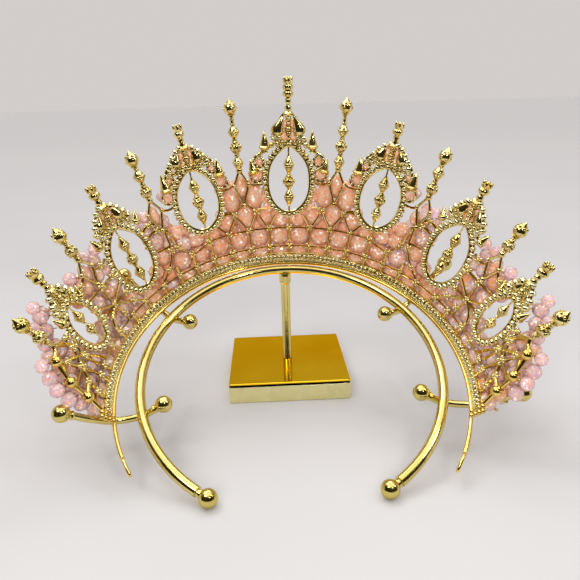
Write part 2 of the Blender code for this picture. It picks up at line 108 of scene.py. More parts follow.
# Wires of the right half: angle, height
WIRES = (
    ((0, LOW_RAIL), (NET_END - 3, LOW_RAIL)),
    ((0, HIGH_RAIL), (24, HIGH_RAIL), (28.5, 18.6), (32.5, 16.6), (35.8, 16.2), (39.4, 22),
     (40.2, 28), (41.4, 33.6)),
    ((7.1, HIGH_RAIL), (4.6, 25.6)),
    ((7.1, HIGH_RAIL), (8.4, 21.4), (9.6, 24.6), (10.8, 28.2)),
    ((10.8, 28.2), (9, 29.4), (7.4, 29.2)),
    ((18.2, 28.2), (20, 29.4), (21.6, 29)),
    ((14.2, HIGH_RAIL), (10.8, 28.2)),
    ((14.2, HIGH_RAIL), (18.2, 28.2)),
    ((21.3, HIGH_RAIL), (18.2, 28.2), (22, 30.8)),
    ((21.3, HIGH_RAIL), (24.6, 24.4)),
    ((10.8, 28.2), (14.5, 32.6), (18.2, 28.2)),
    ((8, 41.2), (11.2, 41.6), (12.3, 43)),
    ((16.9, 43), (18.2, 41.6), (21, 41)),
    ((35.4, 41.2), (38, 40.6), (40, 41.6)),
    ((41.6, 33.2), (42.3, 22), (45.6, 14.6), (49.6, 10.2), (50.4, 4.4)),
    ((42.3, 24.6), (46.6, 25)),
    ((43.8, 37.4), (46, 38.6), (48.2, 37)),
    ((40.6, 31.6), (44, 34.6), (47.4, 33.4)),
    ((58, 4.4), (58.6, 9), (62, 13.6), (68.6, 19.6), (74, 24)),
    ((61, 29.8), (68.4, 29.6), (74.6, 30)),
    ((60.8, 19.8), (68.8, 19.6), (76, 19.2)),
    ((68.4, 31.6), (68.8, 19.6), (67.8, LOW_RAIL)),
    ((73.5, 4.4), (73.4, 14), (68.8, 19.6), (62.6, 25.6)),
    ((62.4, 38), (64, 36.6), (66.4, 37.2)),
    ((71, 38.8), (73.2, 36.6), (77.6, 37.2)),
    ((83.6, 33), (87.6, 30.6), (91.4, 34.2)),
    ((85.4, 28.4), (88.4, 19.8), (86.6, 4.4)),
    ((84.6, 19.8), (98.4, 19.6)),
    ((94.6, 30.4), (92.4, 20), (90.6, LOW_RAIL), (90.8, 4.4)),
    ((91.4, 34), (88.4, 27), (91.8, 19.6), (96.4, LOW_RAIL), (96.8, 4.4)),
    ((84, LOW_RAIL), (88.2, 19.6), (93.4, 27.4), (97.4, 24.4)),
    ((99.6, 14), (95, 15), (92, 19.6)),
)

# Posts of the right half: angle, upper end
POSTS = ((7.1, 19), (14.2, 19), (21.3, 19), (28.5, 23.2), (35.6, 16.2), (42.6, 14), (65.6, LOW_RAIL))

# Gold beads where wires meet, on the right half: angle, height
JOINTS = (
    (7.1, 9.3), (14.2, 9.3), (21.3, 9.3), (28.5, 9.3), (35.6, 9.3), (42.6, 9.3), (50, 9.3),
    (7.1, 19), (14.2, 19), (21.3, 19), (28.5, 18.6), (35.8, 16.2), (39.6, 22.4), (42.3, 22.4),
    (10.8, 28.2), (18.2, 28.2), (45.6, 14.6), (44, 34.6), (45.4, 38.4),
    (59.2, 9.6), (65.6, 9.3), (73.4, 9.3), (62.6, 14.2), (68.8, 19.6), (62.9, 19.7), (74.2, 19.4),
    (68.5, 29.6), (63.6, 29.8), (64.2, 36.8), (73.2, 36.8), (67.6, 13.4),
    (79.6, 9.3), (86.8, 9.3), (90.6, 9.3), (96.4, 9.3), (88.3, 19.7), (92, 19.6), (95.4, 15),
    (88.4, 26.6), (93.2, 26.6), (87.6, 30.6),
)

# Cut crystals of the right half: angle, height, half width, half height
CRYSTALS = (
    (3.55, 5.7, 4.4, 4), (10.65, 5.7, 4.4, 4), (17.75, 5.7, 4.4, 4), (24.85, 5.7, 4.4, 4),
    (32, 5.7, 4.4, 4), (39.1, 5.7, 4.4, 4), (46.2, 5.7, 4.2, 4), (54.3, 6.6, 4.2, 4),
    (62.2, 5.7, 4.2, 3.9), (69.6, 5.7, 4.3, 3.9), (77, 5.8, 4.2, 4), (83.4, 5.8, 3.8, 3.9),
    (88.8, 5.8, 3.4, 3.6), (93.8, 5.8, 3.5, 3.7), (99.2, 6, 3.6, 3.6),
    (3.55, 14.1, 4.5, 4.6), (10.65, 14.1, 4.5, 4.6), (17.75, 14.1, 4.5, 4.6), (24.85, 14.1, 4.5, 4.6),
    (32, 13.2, 4.4, 4.2), (39, 14.2, 4.4, 4.5), (45.4, 11, 3.2, 3), (49, 16, 3.3, 3.6),
    (61.2, 14.6, 3.5, 4), (66.4, 14.4, 3.7, 4), (71.4, 13.6, 3.7, 4),
    (85.6, 13.6, 3.6, 3.9), (88.6, 14.4, 3, 3.6), (93.4, 12.8, 3.6, 3.8), (98.2, 12.2, 3.5, 3.6),
    (2.9, 22, 3.7, 2.9), (8.2, 24.2, 3.9, 4.4), (14.4, 25.6, 4.3, 5.8), (20.7, 24.4, 3.9, 4.4),
    (26.2, 20.6, 3.4, 2.6), (32.2, 20.6, 3.6, 2.6), (36.6, 21.6, 3.7, 4), (37.4, 28.2, 3.1, 3.6),
    (44.6, 20.6, 3.5, 4), (44.6, 29, 3.4, 4.2), (46.2, 36, 3, 2.8),
    (63.6, 24.6, 3.7, 4), (66.2, 24.4, 3.2, 3.8), (71.4, 24.8, 3.9, 4.1), (62.8, 33.4, 3.2, 3.4),
    (66, 33.6, 3.2, 3.6), (71, 33.6, 3.8, 4), (75, 14.8, 3.2, 3.4),
    (85.6, 22.8, 3.4, 4), (88.2, 24, 3.2, 3.8), (89.6, 30, 3.4, 3.6), (92.8, 23.6, 3.4, 3.8),
    (96.2, 20.6, 3.4, 3.6),
    (10.8, 35.4, 4.5, 6.4), (18.1, 35.4, 4.2, 6.4), (14.5, 41, 2.7, 5), (42.2, 40.6, 2.5, 4.6),
    (68.6, 38.2, 2.5, 4.2), (10.2, 45.8, 2.6, 2.7), (19.9, 45.2, 2.6, 2.7), (37, 45.6, 2.6, 2.7),
    (8.7, 53.2, 2.4, 2.6), (21.6, 52.4, 2.2, 2.4), (35.6, 52.4, 2.2, 2.4), (40, 36.2, 2.4, 3.2),
    (6.7, 29.4, 2.5, 2.8), (22.3, 29, 2.5, 2.8), (7.6, 34, 1.9, 2.6), (34.8, 28.4, 2.2, 2.6),
)

# Crystals on thin wires that show past the gold on the right half: angle, height, radius, depth
LOOSE_CRYSTALS = (
    (44.6, 41.8, 3.2, 4), (46, 37.4, 3.2, 4.6), (48.6, 44.6, 2.6, 4), (37.6, 47, 2.6, 3.8),
    (61.6, 42.6, 3, 4), (63.6, 38.8, 3.2, 4.6), (65.4, 43, 2.8, 4.4), (72.2, 41, 3, 4.4),
    (74.6, 37.4, 3, 4.6), (76.2, 41.6, 2.4, 4), (84.6, 46.6, 2.8, 4.2), (85.2, 42, 3.2, 4.6),
    (87, 37.4, 3.2, 4.6), (88.8, 42.4, 2.8, 4.4), (90.4, 35.6, 2.8, 4.2), (95.6, 33.6, 2.8, 4.4),
    (97.4, 28.8, 3.2, 4.6), (99.6, 25, 3, 4.4), (100.6, 19, 3.2, 4.6), (100.2, 13.4, 3, 4.4),
    (99.4, 8.6, 2.6, 4), (97, 17, 3.2, 4.8), (56.8, 48.4, 2.2, 3.6), (79.6, 40.6, 2.2, 3.6),
)

# Large balls along the end of the net and the rods that link them, on the right half: angle, height
END_BALLS = ((94.8, 31), (98.2, 22.6), (99.9, 13.6))
END_BALL = 2.3
END_ROD = ((91.6, 34.6), (92.6, 33), *END_BALLS, (102.6, 4.6))

# Second layer of crystals: rows up the wall and their pitch; how high crystals reach between the arches
BACKING_HEIGHTS = (4.2, 9.6, 14.8, 20.0, 25.2, 30.4, 35.6, 40.8)
BACKING_PITCH = 5.4
CEILING = (
    (0, 26), (8, 40), (11, 47), (14.5, 46), (19, 47), (24, 30), (34, 30), (38, 40), (44, 38), (50, 20),
    (60, 34), (66, 40), (72, 40), (76, 36), (84, 42), (90, 34), (95, 30), (99, 22), (103, 10),
)

# Lamps: name, place, size, power, colour, whether metal mirrors it
LAMPS = (
    ("key", (-0.5, -0.55, 1.0), (0.3, 0.3), 1.8, (1.0, 0.98, 0.95), True),
    ("fill", (0.8, -0.3, 0.8), (0.2, 0.5), 1.5, (0.97, 0.98, 1.0), True),
    ("back", (0.1, 0.6, 1.0), (0.6, 0.2), 1.6, (1.0, 1.0, 1.0), True),
    ("front", (-0.12, -0.75, 0.36), (0.4, 0.3), 3.6, (1.0, 0.98, 0.96), False),
    ("glint", (0.3, -0.7, 0.6), (0.1, 0.1), 0.7, (1.0, 0.98, 0.96), True),
)
LAMP_TARGET = (0, -0.03, 0.08)

# Camera: place in millimetres, turns, and focal length in the photograph's pixels
EYE = (-8.1, -291.4, 143.0)
PITCH_DOWN, YAW, ROLL = radians(18.02), radians(2.06), radians(1.62)
FOCAL_PIXELS = 591.8
PHOTO_PIXELS = 580.0
SENSOR = 36.0


# Small tools for points and curves

SIDEWAYS = np.array((1.0, 0.0, 0.0))
UPHILL = np.array((0.0, cos(RING_TILT), sin(RING_TILT)))
OVER = np.array((0.0, -sin(RING_TILT), cos(RING_TILT)))
RING_TOP = FOOT_BALL + RING_RADIUS * sin(RING_TILT) * (1 - cos(RING_END))
RING_CENTRE = np.array((0.0, 0.0, RING_TOP)) - RING_RADIUS * UPHILL
BAND_CENTRE = RING_CENTRE + (RING_RADIUS + BAND_AHEAD_OF_RING - BAND_RADIUS) * UPHILL
SMALL_TURN = np.array(Matrix.Rotation(-TIARA_TURN, 3, Vector(OVER)))


def unit(vector):
    return vector / np.linalg.norm(vector)


def rotated(x, y, angle):
    """Two axes turned in their plane, the first one towards the second."""
    return cos(angle) * x + sin(angle) * y, cos(angle) * y - sin(angle) * x


def outward(angle):
    return sin(angle) * SIDEWAYS + cos(angle) * UPHILL


def along(angle):
    return cos(angle) * SIDEWAYS - sin(angle) * UPHILL


def wall_lean(angle):
    return LEAN - LEAN_LOSS * angle**4


def wall_axes(degrees):
    """Along the band, up the wall, and out of its front."""
    angle = radians(degrees)
    up, back = rotated(outward(angle), OVER, wall_lean(angle))
    return along(angle), up, -back


def chart(degrees, height, depth=0.0):
    _, up, front = wall_axes(degrees)
    return BAND_CENTRE + BAND_RADIUS * outward(radians(degrees)) + height * up + depth * front


def mm_per_degree(degrees, height):
    return radians(BAND_RADIUS + height * cos(wall_lean(radians(degrees))))


def beside(degrees, across, height, depth=0.0):
    """The chart's point a distance across to the side of an axis."""
    return chart(degrees + across / mm_per_degree(degrees, height), height, depth)


def place(origin, x, y, z):
    """A matrix with these axes at this origin."""
    matrix = np.eye(4)
    matrix[:3, 0], matrix[:3, 1], matrix[:3, 2], matrix[:3, 3] = x, y, z, origin
    return matrix


def standing(degrees, height, depth=0.0, across=0.0, turn=0.0):
    """Z runs up the wall, leaned over by a turn, and Y runs out of its back."""
    side, up, front = wall_axes(degrees)
    z, x = rotated(up, side, turn)
    return place(beside(degrees, across, height, depth), x, -front, z)


def lying(degrees, across, height, turn, depth=0.0):
    """X runs along the wall, turned in its plane, and Z runs out of its back."""
    here = degrees + across / mm_per_degree(degrees, height)
    side, up, front = wall_axes(here)
    return place(chart(here, height, depth), *rotated(side, up, turn), -front)


def pointing(origin, direction):
    z = unit(direction)
    x = unit(np.cross((0.3, 0.2, 0.9), z))
    return place(origin, x, np.cross(z, x), z)


def scaled(x, y=None, z=None):
    return np.diag((x, x if y is None else y, x if z is None else z, 1.0))


def shifted(x, y, z):
    return place((x, y, z), *np.eye(3))


def spun(angle):
    matrix = np.eye(4)
    matrix[0, 0] = matrix[1, 1] = cos(angle)
    matrix[1, 0], matrix[0, 1] = sin(angle), -sin(angle)
    return matrix


def level(axes):
    """The frame's own axes at the origin of others."""
    return shifted(*axes[:3, 3])


def circle(count):
    """The turns of points round a circle."""
    return 2 * pi * np.arange(count) / count


def smooth_route(points, per_span=6):
    """A Catmull-Rom curve through points of any dimension."""
    points = [np.asarray(p, dtype=float) for p in points]
    if len(points) == 2:
        return [points[0] + (points[1] - points[0]) * i / per_span for i in range(per_span + 1)]
    ends = [2 * points[0] - points[1], *points, 2 * points[-1] - points[-2]]
    route = []
    for before, here, there, after in zip(ends, ends[1:], ends[2:], ends[3:]):
        for i in range(per_span):
            t = i / per_span
            bend = 2 * here + (there - before) * t + (2 * before - 5 * here + 4 * there - after) * t**2
            route.append((bend + (3 * here - before - 3 * there + after) * t**3) / 2)
    return [*route, points[-1]]


def evenly(points, pitch, closed=False):
    """Points at an even pitch along a polyline."""
    line = np.array([*points, points[0]] if closed else points)
    reach = np.concatenate(([0.0], np.cumsum(np.linalg.norm(np.diff(line, axis=0), axis=1))))
    count = max(2, round(reach[-1] / pitch))
    marks = np.linspace(0, reach[-1], count if closed else count + 1, endpoint=not closed)
    return [np.array([np.interp(mark, reach, line[:, i]) for i in range(line.shape[1])]) for mark in marks]


# Forms: a form is (points, faces)


def quads(low, high, count, closed=True):
    """The faces between two rows of points, each given by its first point."""
    pairs = [(i, (i + 1) % count) for i in range(count if closed else count - 1)]
    return [(low + i, low + j, high + j, high + i) for i, j in pairs]


def lathe(profile, sides):
    """A solid of revolution about Z from (radius, height) rows, top to bottom."""
    points, rings = [], []
    turns = [(cos(t), sin(t)) for t in circle(sides)]
    for radius, height in profile:
        first = len(points)
        if radius < 1e-6:
            rings.append([first] * sides)
            points.append((0.0, 0.0, height))
        else:
            rings.append(list(range(first, first + sides)))
            points += [(radius * x, radius * y, height) for x, y in turns]
    faces = []
    for upper, lower in zip(rings, rings[1:]):
        for i in range(sides):
            j = (i + 1) % sides
            faces.append(tuple(dict.fromkeys((upper[i], lower[i], lower[j], upper[j]))))
    return np.array(points), faces


def ball_form(rings, sides):
    turns = [pi * i / rings for i in range(rings + 1)]
    return lathe([(sin(t) if 0 < i < rings else 0.0, cos(t)) for i, t in enumerate(turns)], sides)


def cut_form(rows, sides):
    """A faceted bead: rows of (radius, height, half turns) joined by triangles, with flat ends."""
    points = []
    for radius, height, shift in rows:
        for i in range(sides):
            turn = 2 * pi * (i + shift / 2) / sides
            points.append((radius * cos(turn), radius * sin(turn), height))
    faces = [tuple(range(sides))]
    for row, (upper, lower) in enumerate(zip(rows, rows[1:])):
        top, low = row * sides, (row + 1) * sides
        for i in range(sides):
            j = (i + 1) % sides
            if lower[2] > upper[2]:
                faces += [(top + i, low + i, top + j), (top + j, low + i, low + j)]
            elif lower[2] < upper[2]:
                faces += [(top + i, low + i, low + j), (top + i, low + j, top + j)]
            else:
                faces.append((top + i, low + i, low + j, top + j))
    last = (len(rows) - 1) * sides
    faces.append(tuple(reversed(range(last, last + sides))))
    return np.array(points), faces


def sweep(route, radius, sides=8, closed=False, fronts=None, depth=1.0):
    """A rod along a route. The radius may change along it, and depth flattens it towards the wall's front."""
    route = np.array(route, dtype=float)
    count = len(route)
    radii = np.full(count, radius) if np.isscalar(radius) else np.asarray(radius, dtype=float)
    if closed:
        heading = np.roll(route, -1, axis=0) - np.roll(route, 1, axis=0)
    else:
        heading = np.gradient(route, axis=0)
    heading /= np.linalg.norm(heading, axis=1)[:, None]
    normals = np.zeros_like(route)
    normal = np.cross(heading[0], (0.31, 0.22, 0.92)) if fronts is None else np.asarray(fronts[0])
    for i in range(count):
        if fronts is not None:
            normal = np.asarray(fronts[i])
        normal = unit(normal - np.dot(normal, heading[i]) * heading[i])
        normals[i] = normal
    across = np.cross(heading, normals)
    wide, deep = (wave(circle(sides))[None, :, None] for wave in (np.cos, np.sin))
    ring = wide * across[:, None, :] + depth * deep * normals[:, None, :]
    points = (route[:, None, :] + radii[:, None, None] * ring).reshape(-1, 3)
    faces = []
    for i in range(count if closed else count - 1):
        faces += quads(i * sides, (i + 1) % count * sides, sides)
    if not closed:
        caps = (route[0] - 0.5 * radii[0] * heading[0], route[-1] + 0.5 * radii[-1] * heading[-1])
        points = np.concatenate((points, caps))
        low, high, last = count * sides, count * sides + 1, (count - 1) * sides
        faces += [(low, (k + 1) % sides, k) for k in range(sides)]
        faces += [(high, last + k, last + (k + 1) % sides) for k in range(sides)]
    return points, faces


def wall_rod(route, radius, sides=8, closed=False, depth=1.0):
    """A rod through (degrees, height, depth) points of the chart."""
    fronts = [wall_axes(p[0])[2] for p in route]
    return sweep([chart(*p) for p in route], radius, sides, closed, fronts, depth)


def mirrored(form):
    points, faces = form
    return points * (-1, 1, 1), [tuple(reversed(face)) for face in faces]


def new_object(name, data):
    made = bpy.data.objects.new(name, data)
    bpy.context.scene.collection.objects.link(made)
    return made


def new_mesh(name, points, faces, materials):
    mesh = bpy.data.meshes.new(name)
    mesh.from_pydata(points, [], faces)
    for material in materials:
        mesh.materials.append(material)
    return mesh


class Shape:
    """Collects forms that become one mesh object."""

    def __init__(self):
        self.points = []
        self.faces = []
        self.looks = []
        self.count = 0

    def add(self, form, matrix=None, look=0):
        """Look is the place of the form's material in the piece, or a list of them, one for each face."""
        points, faces = form
        if matrix is not None:
            points = points @ matrix[:3, :3].T + matrix[:3, 3]
            if np.linalg.det(matrix[:3, :3]) < 0:
                faces = [tuple(reversed(face)) for face in faces]
        self.points.append(points)
        self.faces += [tuple(i + self.count for i in face) for face in faces]
        self.looks += look if isinstance(look, list) else [look] * len(faces)
        self.count += len(points)

    def piece(self, name, materials, nodes=(), slot="gold_tiara", side=1, sharp=50):
        """The mesh object, riding on the body and standing for the nodes.

        Side -1 mirrors it. Edges sharper than an angle stay crisp, and crystals are flat all over.
        """
        points, faces = np.concatenate(self.points), self.faces
        if side < 0:
            points, faces = mirrored((points, faces))
        if slot != "gold_stand":
            points = points @ SMALL_TURN.T + BAND_CENTRE - SMALL_TURN @ BAND_CENTRE
        mesh = new_mesh(name, (points * MM).tolist(), faces, materials)
        mesh.polygons.foreach_set("material_index", self.looks)
        if slot == "rose_crystal":
            mesh.shade_flat()
        else:
            mesh.shade_smooth()
            mesh.set_sharp_from_angle(angle=radians(sharp))
        made = new_object(name, mesh)
        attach(made, "root")
        if nodes:
            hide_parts(*nodes)
        return made


# Materials


def new_material(name):
    material = bpy.data.materials.new(name)
    material.use_nodes = True
    return material, material.node_tree, material.node_tree.nodes["Principled BSDF"]


def fill(tree, node, inputs):
    """Sets each input to a value, or links it to another node's output."""
    for socket, value in inputs.items():
        if isinstance(value, bpy.types.NodeSocket):
            tree.links.new(value, node.inputs[socket])
        else:
            node.inputs[socket].default_value = value


def add_node(tree, kind, inputs):
    node = tree.nodes.new(kind)
    fill(tree, node, inputs)
    return node


def position(tree, output="Object"):
    return tree.nodes.new("ShaderNodeTexCoord").outputs[output]


def noise_of(tree, scale, detail=2.0):
    """Noise that is fixed to the object, with a scale in features per metre."""
    inputs = {"Vector": position(tree), "Scale": scale, "Detail": detail}
    return add_node(tree, "ShaderNodeTexNoise", inputs).outputs["Fac"]


def facet_lines(tree, pitch):
    """How far a point is from the lines of a fine net of cells."""
    cells = add_node(tree, "ShaderNodeTexVoronoi", {"Vector": position(tree), "Scale": 1 / pitch})
    cells.feature = "DISTANCE_TO_EDGE"
    return cells.outputs["Distance"]


def ramp(tree, factor, stops):
    node = add_node(tree, "ShaderNodeValToRGB", {"Fac": factor})
    ends = node.color_ramp.elements
    for end, (share, colour) in zip(ends, (stops[0], stops[-1])):
        end.position, end.color = share, (*colour, 1)
    for share, colour in stops[1:-1]:
        ends.new(share).color = (*colour, 1)
    return node.outputs["Color"]


def spread(tree, factor, low=0.0, high=1.0, start=0.3, end=0.7):
    """What runs from start to end in the factor runs from low to high."""
    inputs = {"Value": factor, "From Min": start, "From Max": end, "To Min": low, "To Max": high}
    return add_node(tree, "ShaderNodeMapRange", inputs).outputs["Result"]


def mix(tree, factor, first, second, blend="MIX"):
    node = tree.nodes.new("ShaderNodeMix")
    node.data_type = "RGBA"
    node.blend_type = blend
    fill(tree, node, {0: factor, 6: first, 7: second})
    return node.outputs[2]


def plating(name, deep, bright, roughness, grain, relief):
    """Plated metal whose tint, polish and surface waver a little. Grain is in features per metre."""
    material, tree, shader = new_material(name)
    bumps = {"Height": noise_of(tree, grain, 2.0), "Strength": relief, "Distance": 0.2 * MM}
    fill(tree, shader, {
        "Metallic": 1.0,
        "Base Color": ramp(tree, noise_of(tree, grain / 6, 3.0), ((0.32, deep), (0.68, bright))),
        "Roughness": spread(tree, noise_of(tree, grain, 4.0), *roughness),
        "Normal": add_node(tree, "ShaderNodeBump", bumps).outputs["Normal"],
        "Specular Tint": (*(0.4 + 0.6 * part for part in bright), 1.0),
    })
    return material


WHITE = (1.0, 1.0, 1.0)
WARM_LINE = (0.98, 0.69, 0.48)
PINK_LINE = (0.93, 0.74, 0.84)
CRYSTAL_FACET = 1.5 * MM


def cut_glass(name, deep, light, clear, lines=WARM_LINE):
    """Tinted glass that wavers inside a facet, with the warm lines where the far side's facets meet."""
    material, tree, shader = new_material(name)
    body = ramp(tree, noise_of(tree, 700.0), ((0.35, deep), (0.65, light)))
    line = ramp(tree, facet_lines(tree, CRYSTAL_FACET), ((0.03, lines), (0.15, WHITE)))
    fill(tree, shader, {
        "Base Color": mix(tree, 1.0, body, line, "MULTIPLY"),
        "Roughness": spread(tree, noise_of(tree, 300.0), 0.02, 0.08),
        "Transmission Weight": clear,
        "IOR": 1.56,
    })
    return material


# Golds: deep and bright tint, range of roughness, grain and relief
CAST_GOLD = plating("Cast gold plating", (0.74, 0.56, 0.16), (0.95, 0.83, 0.42), (0.04, 0.14), 900, 0.25)
# A paler copy of the gold, partly painted highlight: cups, domes, beads, petals and seed beads in it read
# bright beside the darker cast gold.
PALE_HIGHLIGHT_GOLD = plating("Pale gold, partly painted highlight", (0.97, 0.86, 0.46), (1.0, 0.96, 0.68), (0.08, 0.2), 900, 0.25)
WIRE_GOLD = plating("Gold wire", (0.84, 0.57, 0.13), (0.98, 0.77, 0.27), (0.08, 0.2), 700, 0.2)
ROD_GOLD = plating("Plated rod", (0.68, 0.55, 0.16), (0.80, 0.67, 0.26), (0.08, 0.18), 420, 0.08)
PLATE_TOP = plating("Polished plate top", (0.90, 0.47, 0.015), (1.0, 0.64, 0.03), (0.06, 0.22), 70, 0.02)
PLATE_SIDE = plating("Satin plate edge", (0.90, 0.83, 0.41), (0.97, 0.91, 0.50), (0.36, 0.48), 1500, 0.2)
SEAM = plating("Dark seam", (0.012, 0.008, 0.003), (0.03, 0.02, 0.008), (0.4, 0.6), 900, 0.2)

# Shades of a cut crystal's facets: deep and light tint, clearness
PALE_ROSE = cut_glass("Pale rose crystal", (1.0, 0.80, 0.82), (1.0, 0.93, 0.94), 0.55, PINK_LINE)
# Blush and peach facets are lighter and darker copies of the rose glass, strewn over the facets as painted
# sparkle: painted light on the blush ones, and partly painted shade on the peach ones. White facets are
# painted glints.
SHADES = (
    cut_glass("Rose crystal", (1.0, 0.57, 0.39), (1.0, 0.67, 0.49), 0.35),
    cut_glass("Peach facet, partly painted shade", (0.96, 0.45, 0.23), (1.0, 0.56, 0.34), 0.3),
    cut_glass("Blush facet, painted light", (1.0, 0.69, 0.53), (1.0, 0.80, 0.67), 0.4),
    cut_glass("White facet, painted glint", (1.0, 0.96, 0.93), WHITE, 0.1),
    PALE_ROSE,
    cut_glass("Lilac facet", (0.94, 0.64, 0.73), (1.0, 0.78, 0.85), 0.5, PINK_LINE),
)

# What a crystal's facets are drawn from, as places in SHADES
WARM_MIX = (0,) * 8 + (1,) * 4 + (2,) * 6 + (3, 3)
DEEP_MIX = (0,) * 8 + (1,) * 9 + (2,) * 3
PALE_MIX = (4,) * 9 + (5,) * 6 + (2, 2, 0, 0, 3)
SOFT_MIX = (4,) * 9 + (0,) * 3 + (2,) * 5 + (1, 3, 3)

X, Y, Z = np.eye(3)
BALL = ball_form(10, 16)
SMALL_BALL = ball_form(6, 8)
GRAIN = ball_form(4, 6)
BEAD_TURNS = [pi * (i + 0.5) / 9 for i in range(9)]
BEAD_CUT = cut_form([(sin(t), 0.95 * cos(t), i % 2) for i, t in enumerate(BEAD_TURNS)], 14)
STONE_CUT = cut_form(((0.5, 0.5, 0), (0.92, 0.2, 1), (1.0, 0.0, 0), (0.3, -0.6, 1)), 8)

# Turned parts at unit size
SPIKE = lathe(((0.0, 1.0), (0.2, 0.6), (0.5, 0.1), (0.6, -0.3), (0.0, -0.4)), 7)
CLAW = lathe(((0.0, 1.0), (0.3, 0.7), (0.5, 0.1), (0.42, -0.7), (0.0, -0.8)), 7)
CAP = lathe(((0.0, 1.55), (0.1, 1.4), (0.3, 1.12), (0.62, 0.8), (0.72, 0.66), (0.0, 0.6)), 8)
COLLAR = lathe(((0.0, -0.72), (0.5, -0.76), (0.62, -0.9), (0.5, -1.04), (0.0, -1.08)), 12)
THIN_RING = lathe(((0, 0.35), (0.8, 0.3), (1.0, 0.0), (0.8, -0.3), (0, -0.35)), 12)
BROAD_RING = lathe(((0, 0.55), (0.95, 0.5), (1.25, 0.2), (1.25, -0.2), (0.95, -0.5), (0, -0.55)), 12)
LEAF = lathe(((0.0, 1.0), (0.16, 0.93), (0.46, 0.72), (0.8, 0.46), (0.97, 0.3), (1.0, 0.22), (0.93, 0.1),
              (0.7, 0.02), (0.0, -0.02)), 12)
FLUTED = ((0.0, 1.08), (0.34, 1.05), (0.4, 0.96), (0.32, 0.88), (0.62, 0.62), (0.84, 0.36), (0.9, 0.26),
          (0.86, 0.2), (1.02, 0.12))
BICONE = lathe((*FLUTED, (1.06, 0.0), *((reach, -lift) for reach, lift in reversed(FLUTED))), 10)


# Stand


def ring_point(angle, radius=RING_RADIUS, rise=0.0):
    return RING_CENTRE + radius * outward(angle) + rise * OVER


def make_base():
    """A thin polished sheet on a satin slab, with a dark groove between them."""
    half, corner, sides = BASE_SIDE / 2, 1.0, 16
    sheet, slab, groove = range(3)
    rows = [(half - BASE_EDGE, 0.0, slab)]
    for t in np.linspace(0.4, 1.57, 4):
        rows.append((half - BASE_EDGE * (1 - sin(t)), BASE_EDGE * (1 - cos(t)), slab))
    edge = ((0.0, 2.2, slab), (0.15, 1.95, slab), (0.9, 1.9, groove), (0.9, 1.0, groove), (0.2, 0.95, groove),
            (0.05, 0.7, sheet), (0.1, 0.25, sheet), (0.4, 0.0, sheet))
    rows += [(half - inset, BASE_HEIGHT - drop, look) for inset, drop, look in edge]
    points = []
    for reach, height, _ in rows:
        for quarter in range(4):
            for i in range(4):
                turn = pi / 2 * (quarter + i / 3)
                x = corner * cos(turn) + (reach - corner) * (1 if quarter in (0, 3) else -1)
                y = corner * sin(turn) + (reach - corner) * (1 if quarter < 2 else -1)
                points.append((x, y, height))
    faces, looks = [], []
    for row in range(1, len(rows)):
        faces += quads((row - 1) * sides, row * sides, sides)
        looks += [rows[row][2]] * sides
    last = (len(rows) - 1) * sides
    faces += [tuple(range(last, last + sides)), tuple(reversed(range(sides)))]
    plate = Shape()
    plate.add((np.array(points), faces), look=[*looks, sheet, slab])
    plate.piece("base_plate", (PLATE_TOP, PLATE_SIDE, SEAM), ("stand_base",), "gold_stand", sharp=20)


def make_stem():
    top = RING_TOP - RING_ROD * 0.7
    stem = Shape()
    collar = ((COLLAR_RADIUS, 0.0), (0.5, 0.0), (0.1, 0.3), (0.0, 0.8), (0.0, 5.0), (0.25, 5.5))
    profile = [(COLLAR_RADIUS - inset, top - drop) for inset, drop in collar] + [(STEM_RADIUS, top - 5.8)]
    foot = ((0.0, 1.0), (0.25, 0.5), (0.3, 0.02), (-STEM_RADIUS, 0.02))
    profile += [(STEM_RADIUS + out, BASE_HEIGHT + rise) for out, rise in foot]
    stem.add(lathe(profile, 36))
    stem.piece("stem", (ROD_GOLD,), ("stand_stem",), "gold_stand", sharp=40)


def make_ring():
    end = RING_END - (FOOT_BALL + 1.2) / RING_RADIUS
    rod = Shape()
    rod.add(sweep([ring_point(a) for a in np.linspace(-end, end, 150)], RING_ROD, 24, fronts=[OVER] * 150))
    rod.piece("ring", (ROD_GOLD,), ("stand_ring",), "gold_stand")
    ball = Shape()
    centre, away = ring_point(RING_END), along(RING_END)
    ball.add(ball_form(20, 32), pointing(centre, away) @ scaled(FOOT_BALL))
    neck = lathe(((0, 0.9), (1.5, 0.9), (1.5, 0.0), (1.9, -0.15), (1.9, -1.0), (0, -1.0)), 20)
    ball.add(neck, pointing(centre - (FOOT_BALL + 0.1) * away, -away))
    for side, hand in HANDS:
        ball.piece(f"ring_end_{hand}", (ROD_GOLD,), (f"ring_ball_{hand}",), "gold_stand", side, 40)


def band_reach(angle):
    shift = RING_RADIUS + BAND_AHEAD_OF_RING - BAND_RADIUS
    return shift * cos(angle) + sqrt(BAND_RADIUS**2 - (shift * sin(angle)) ** 2)


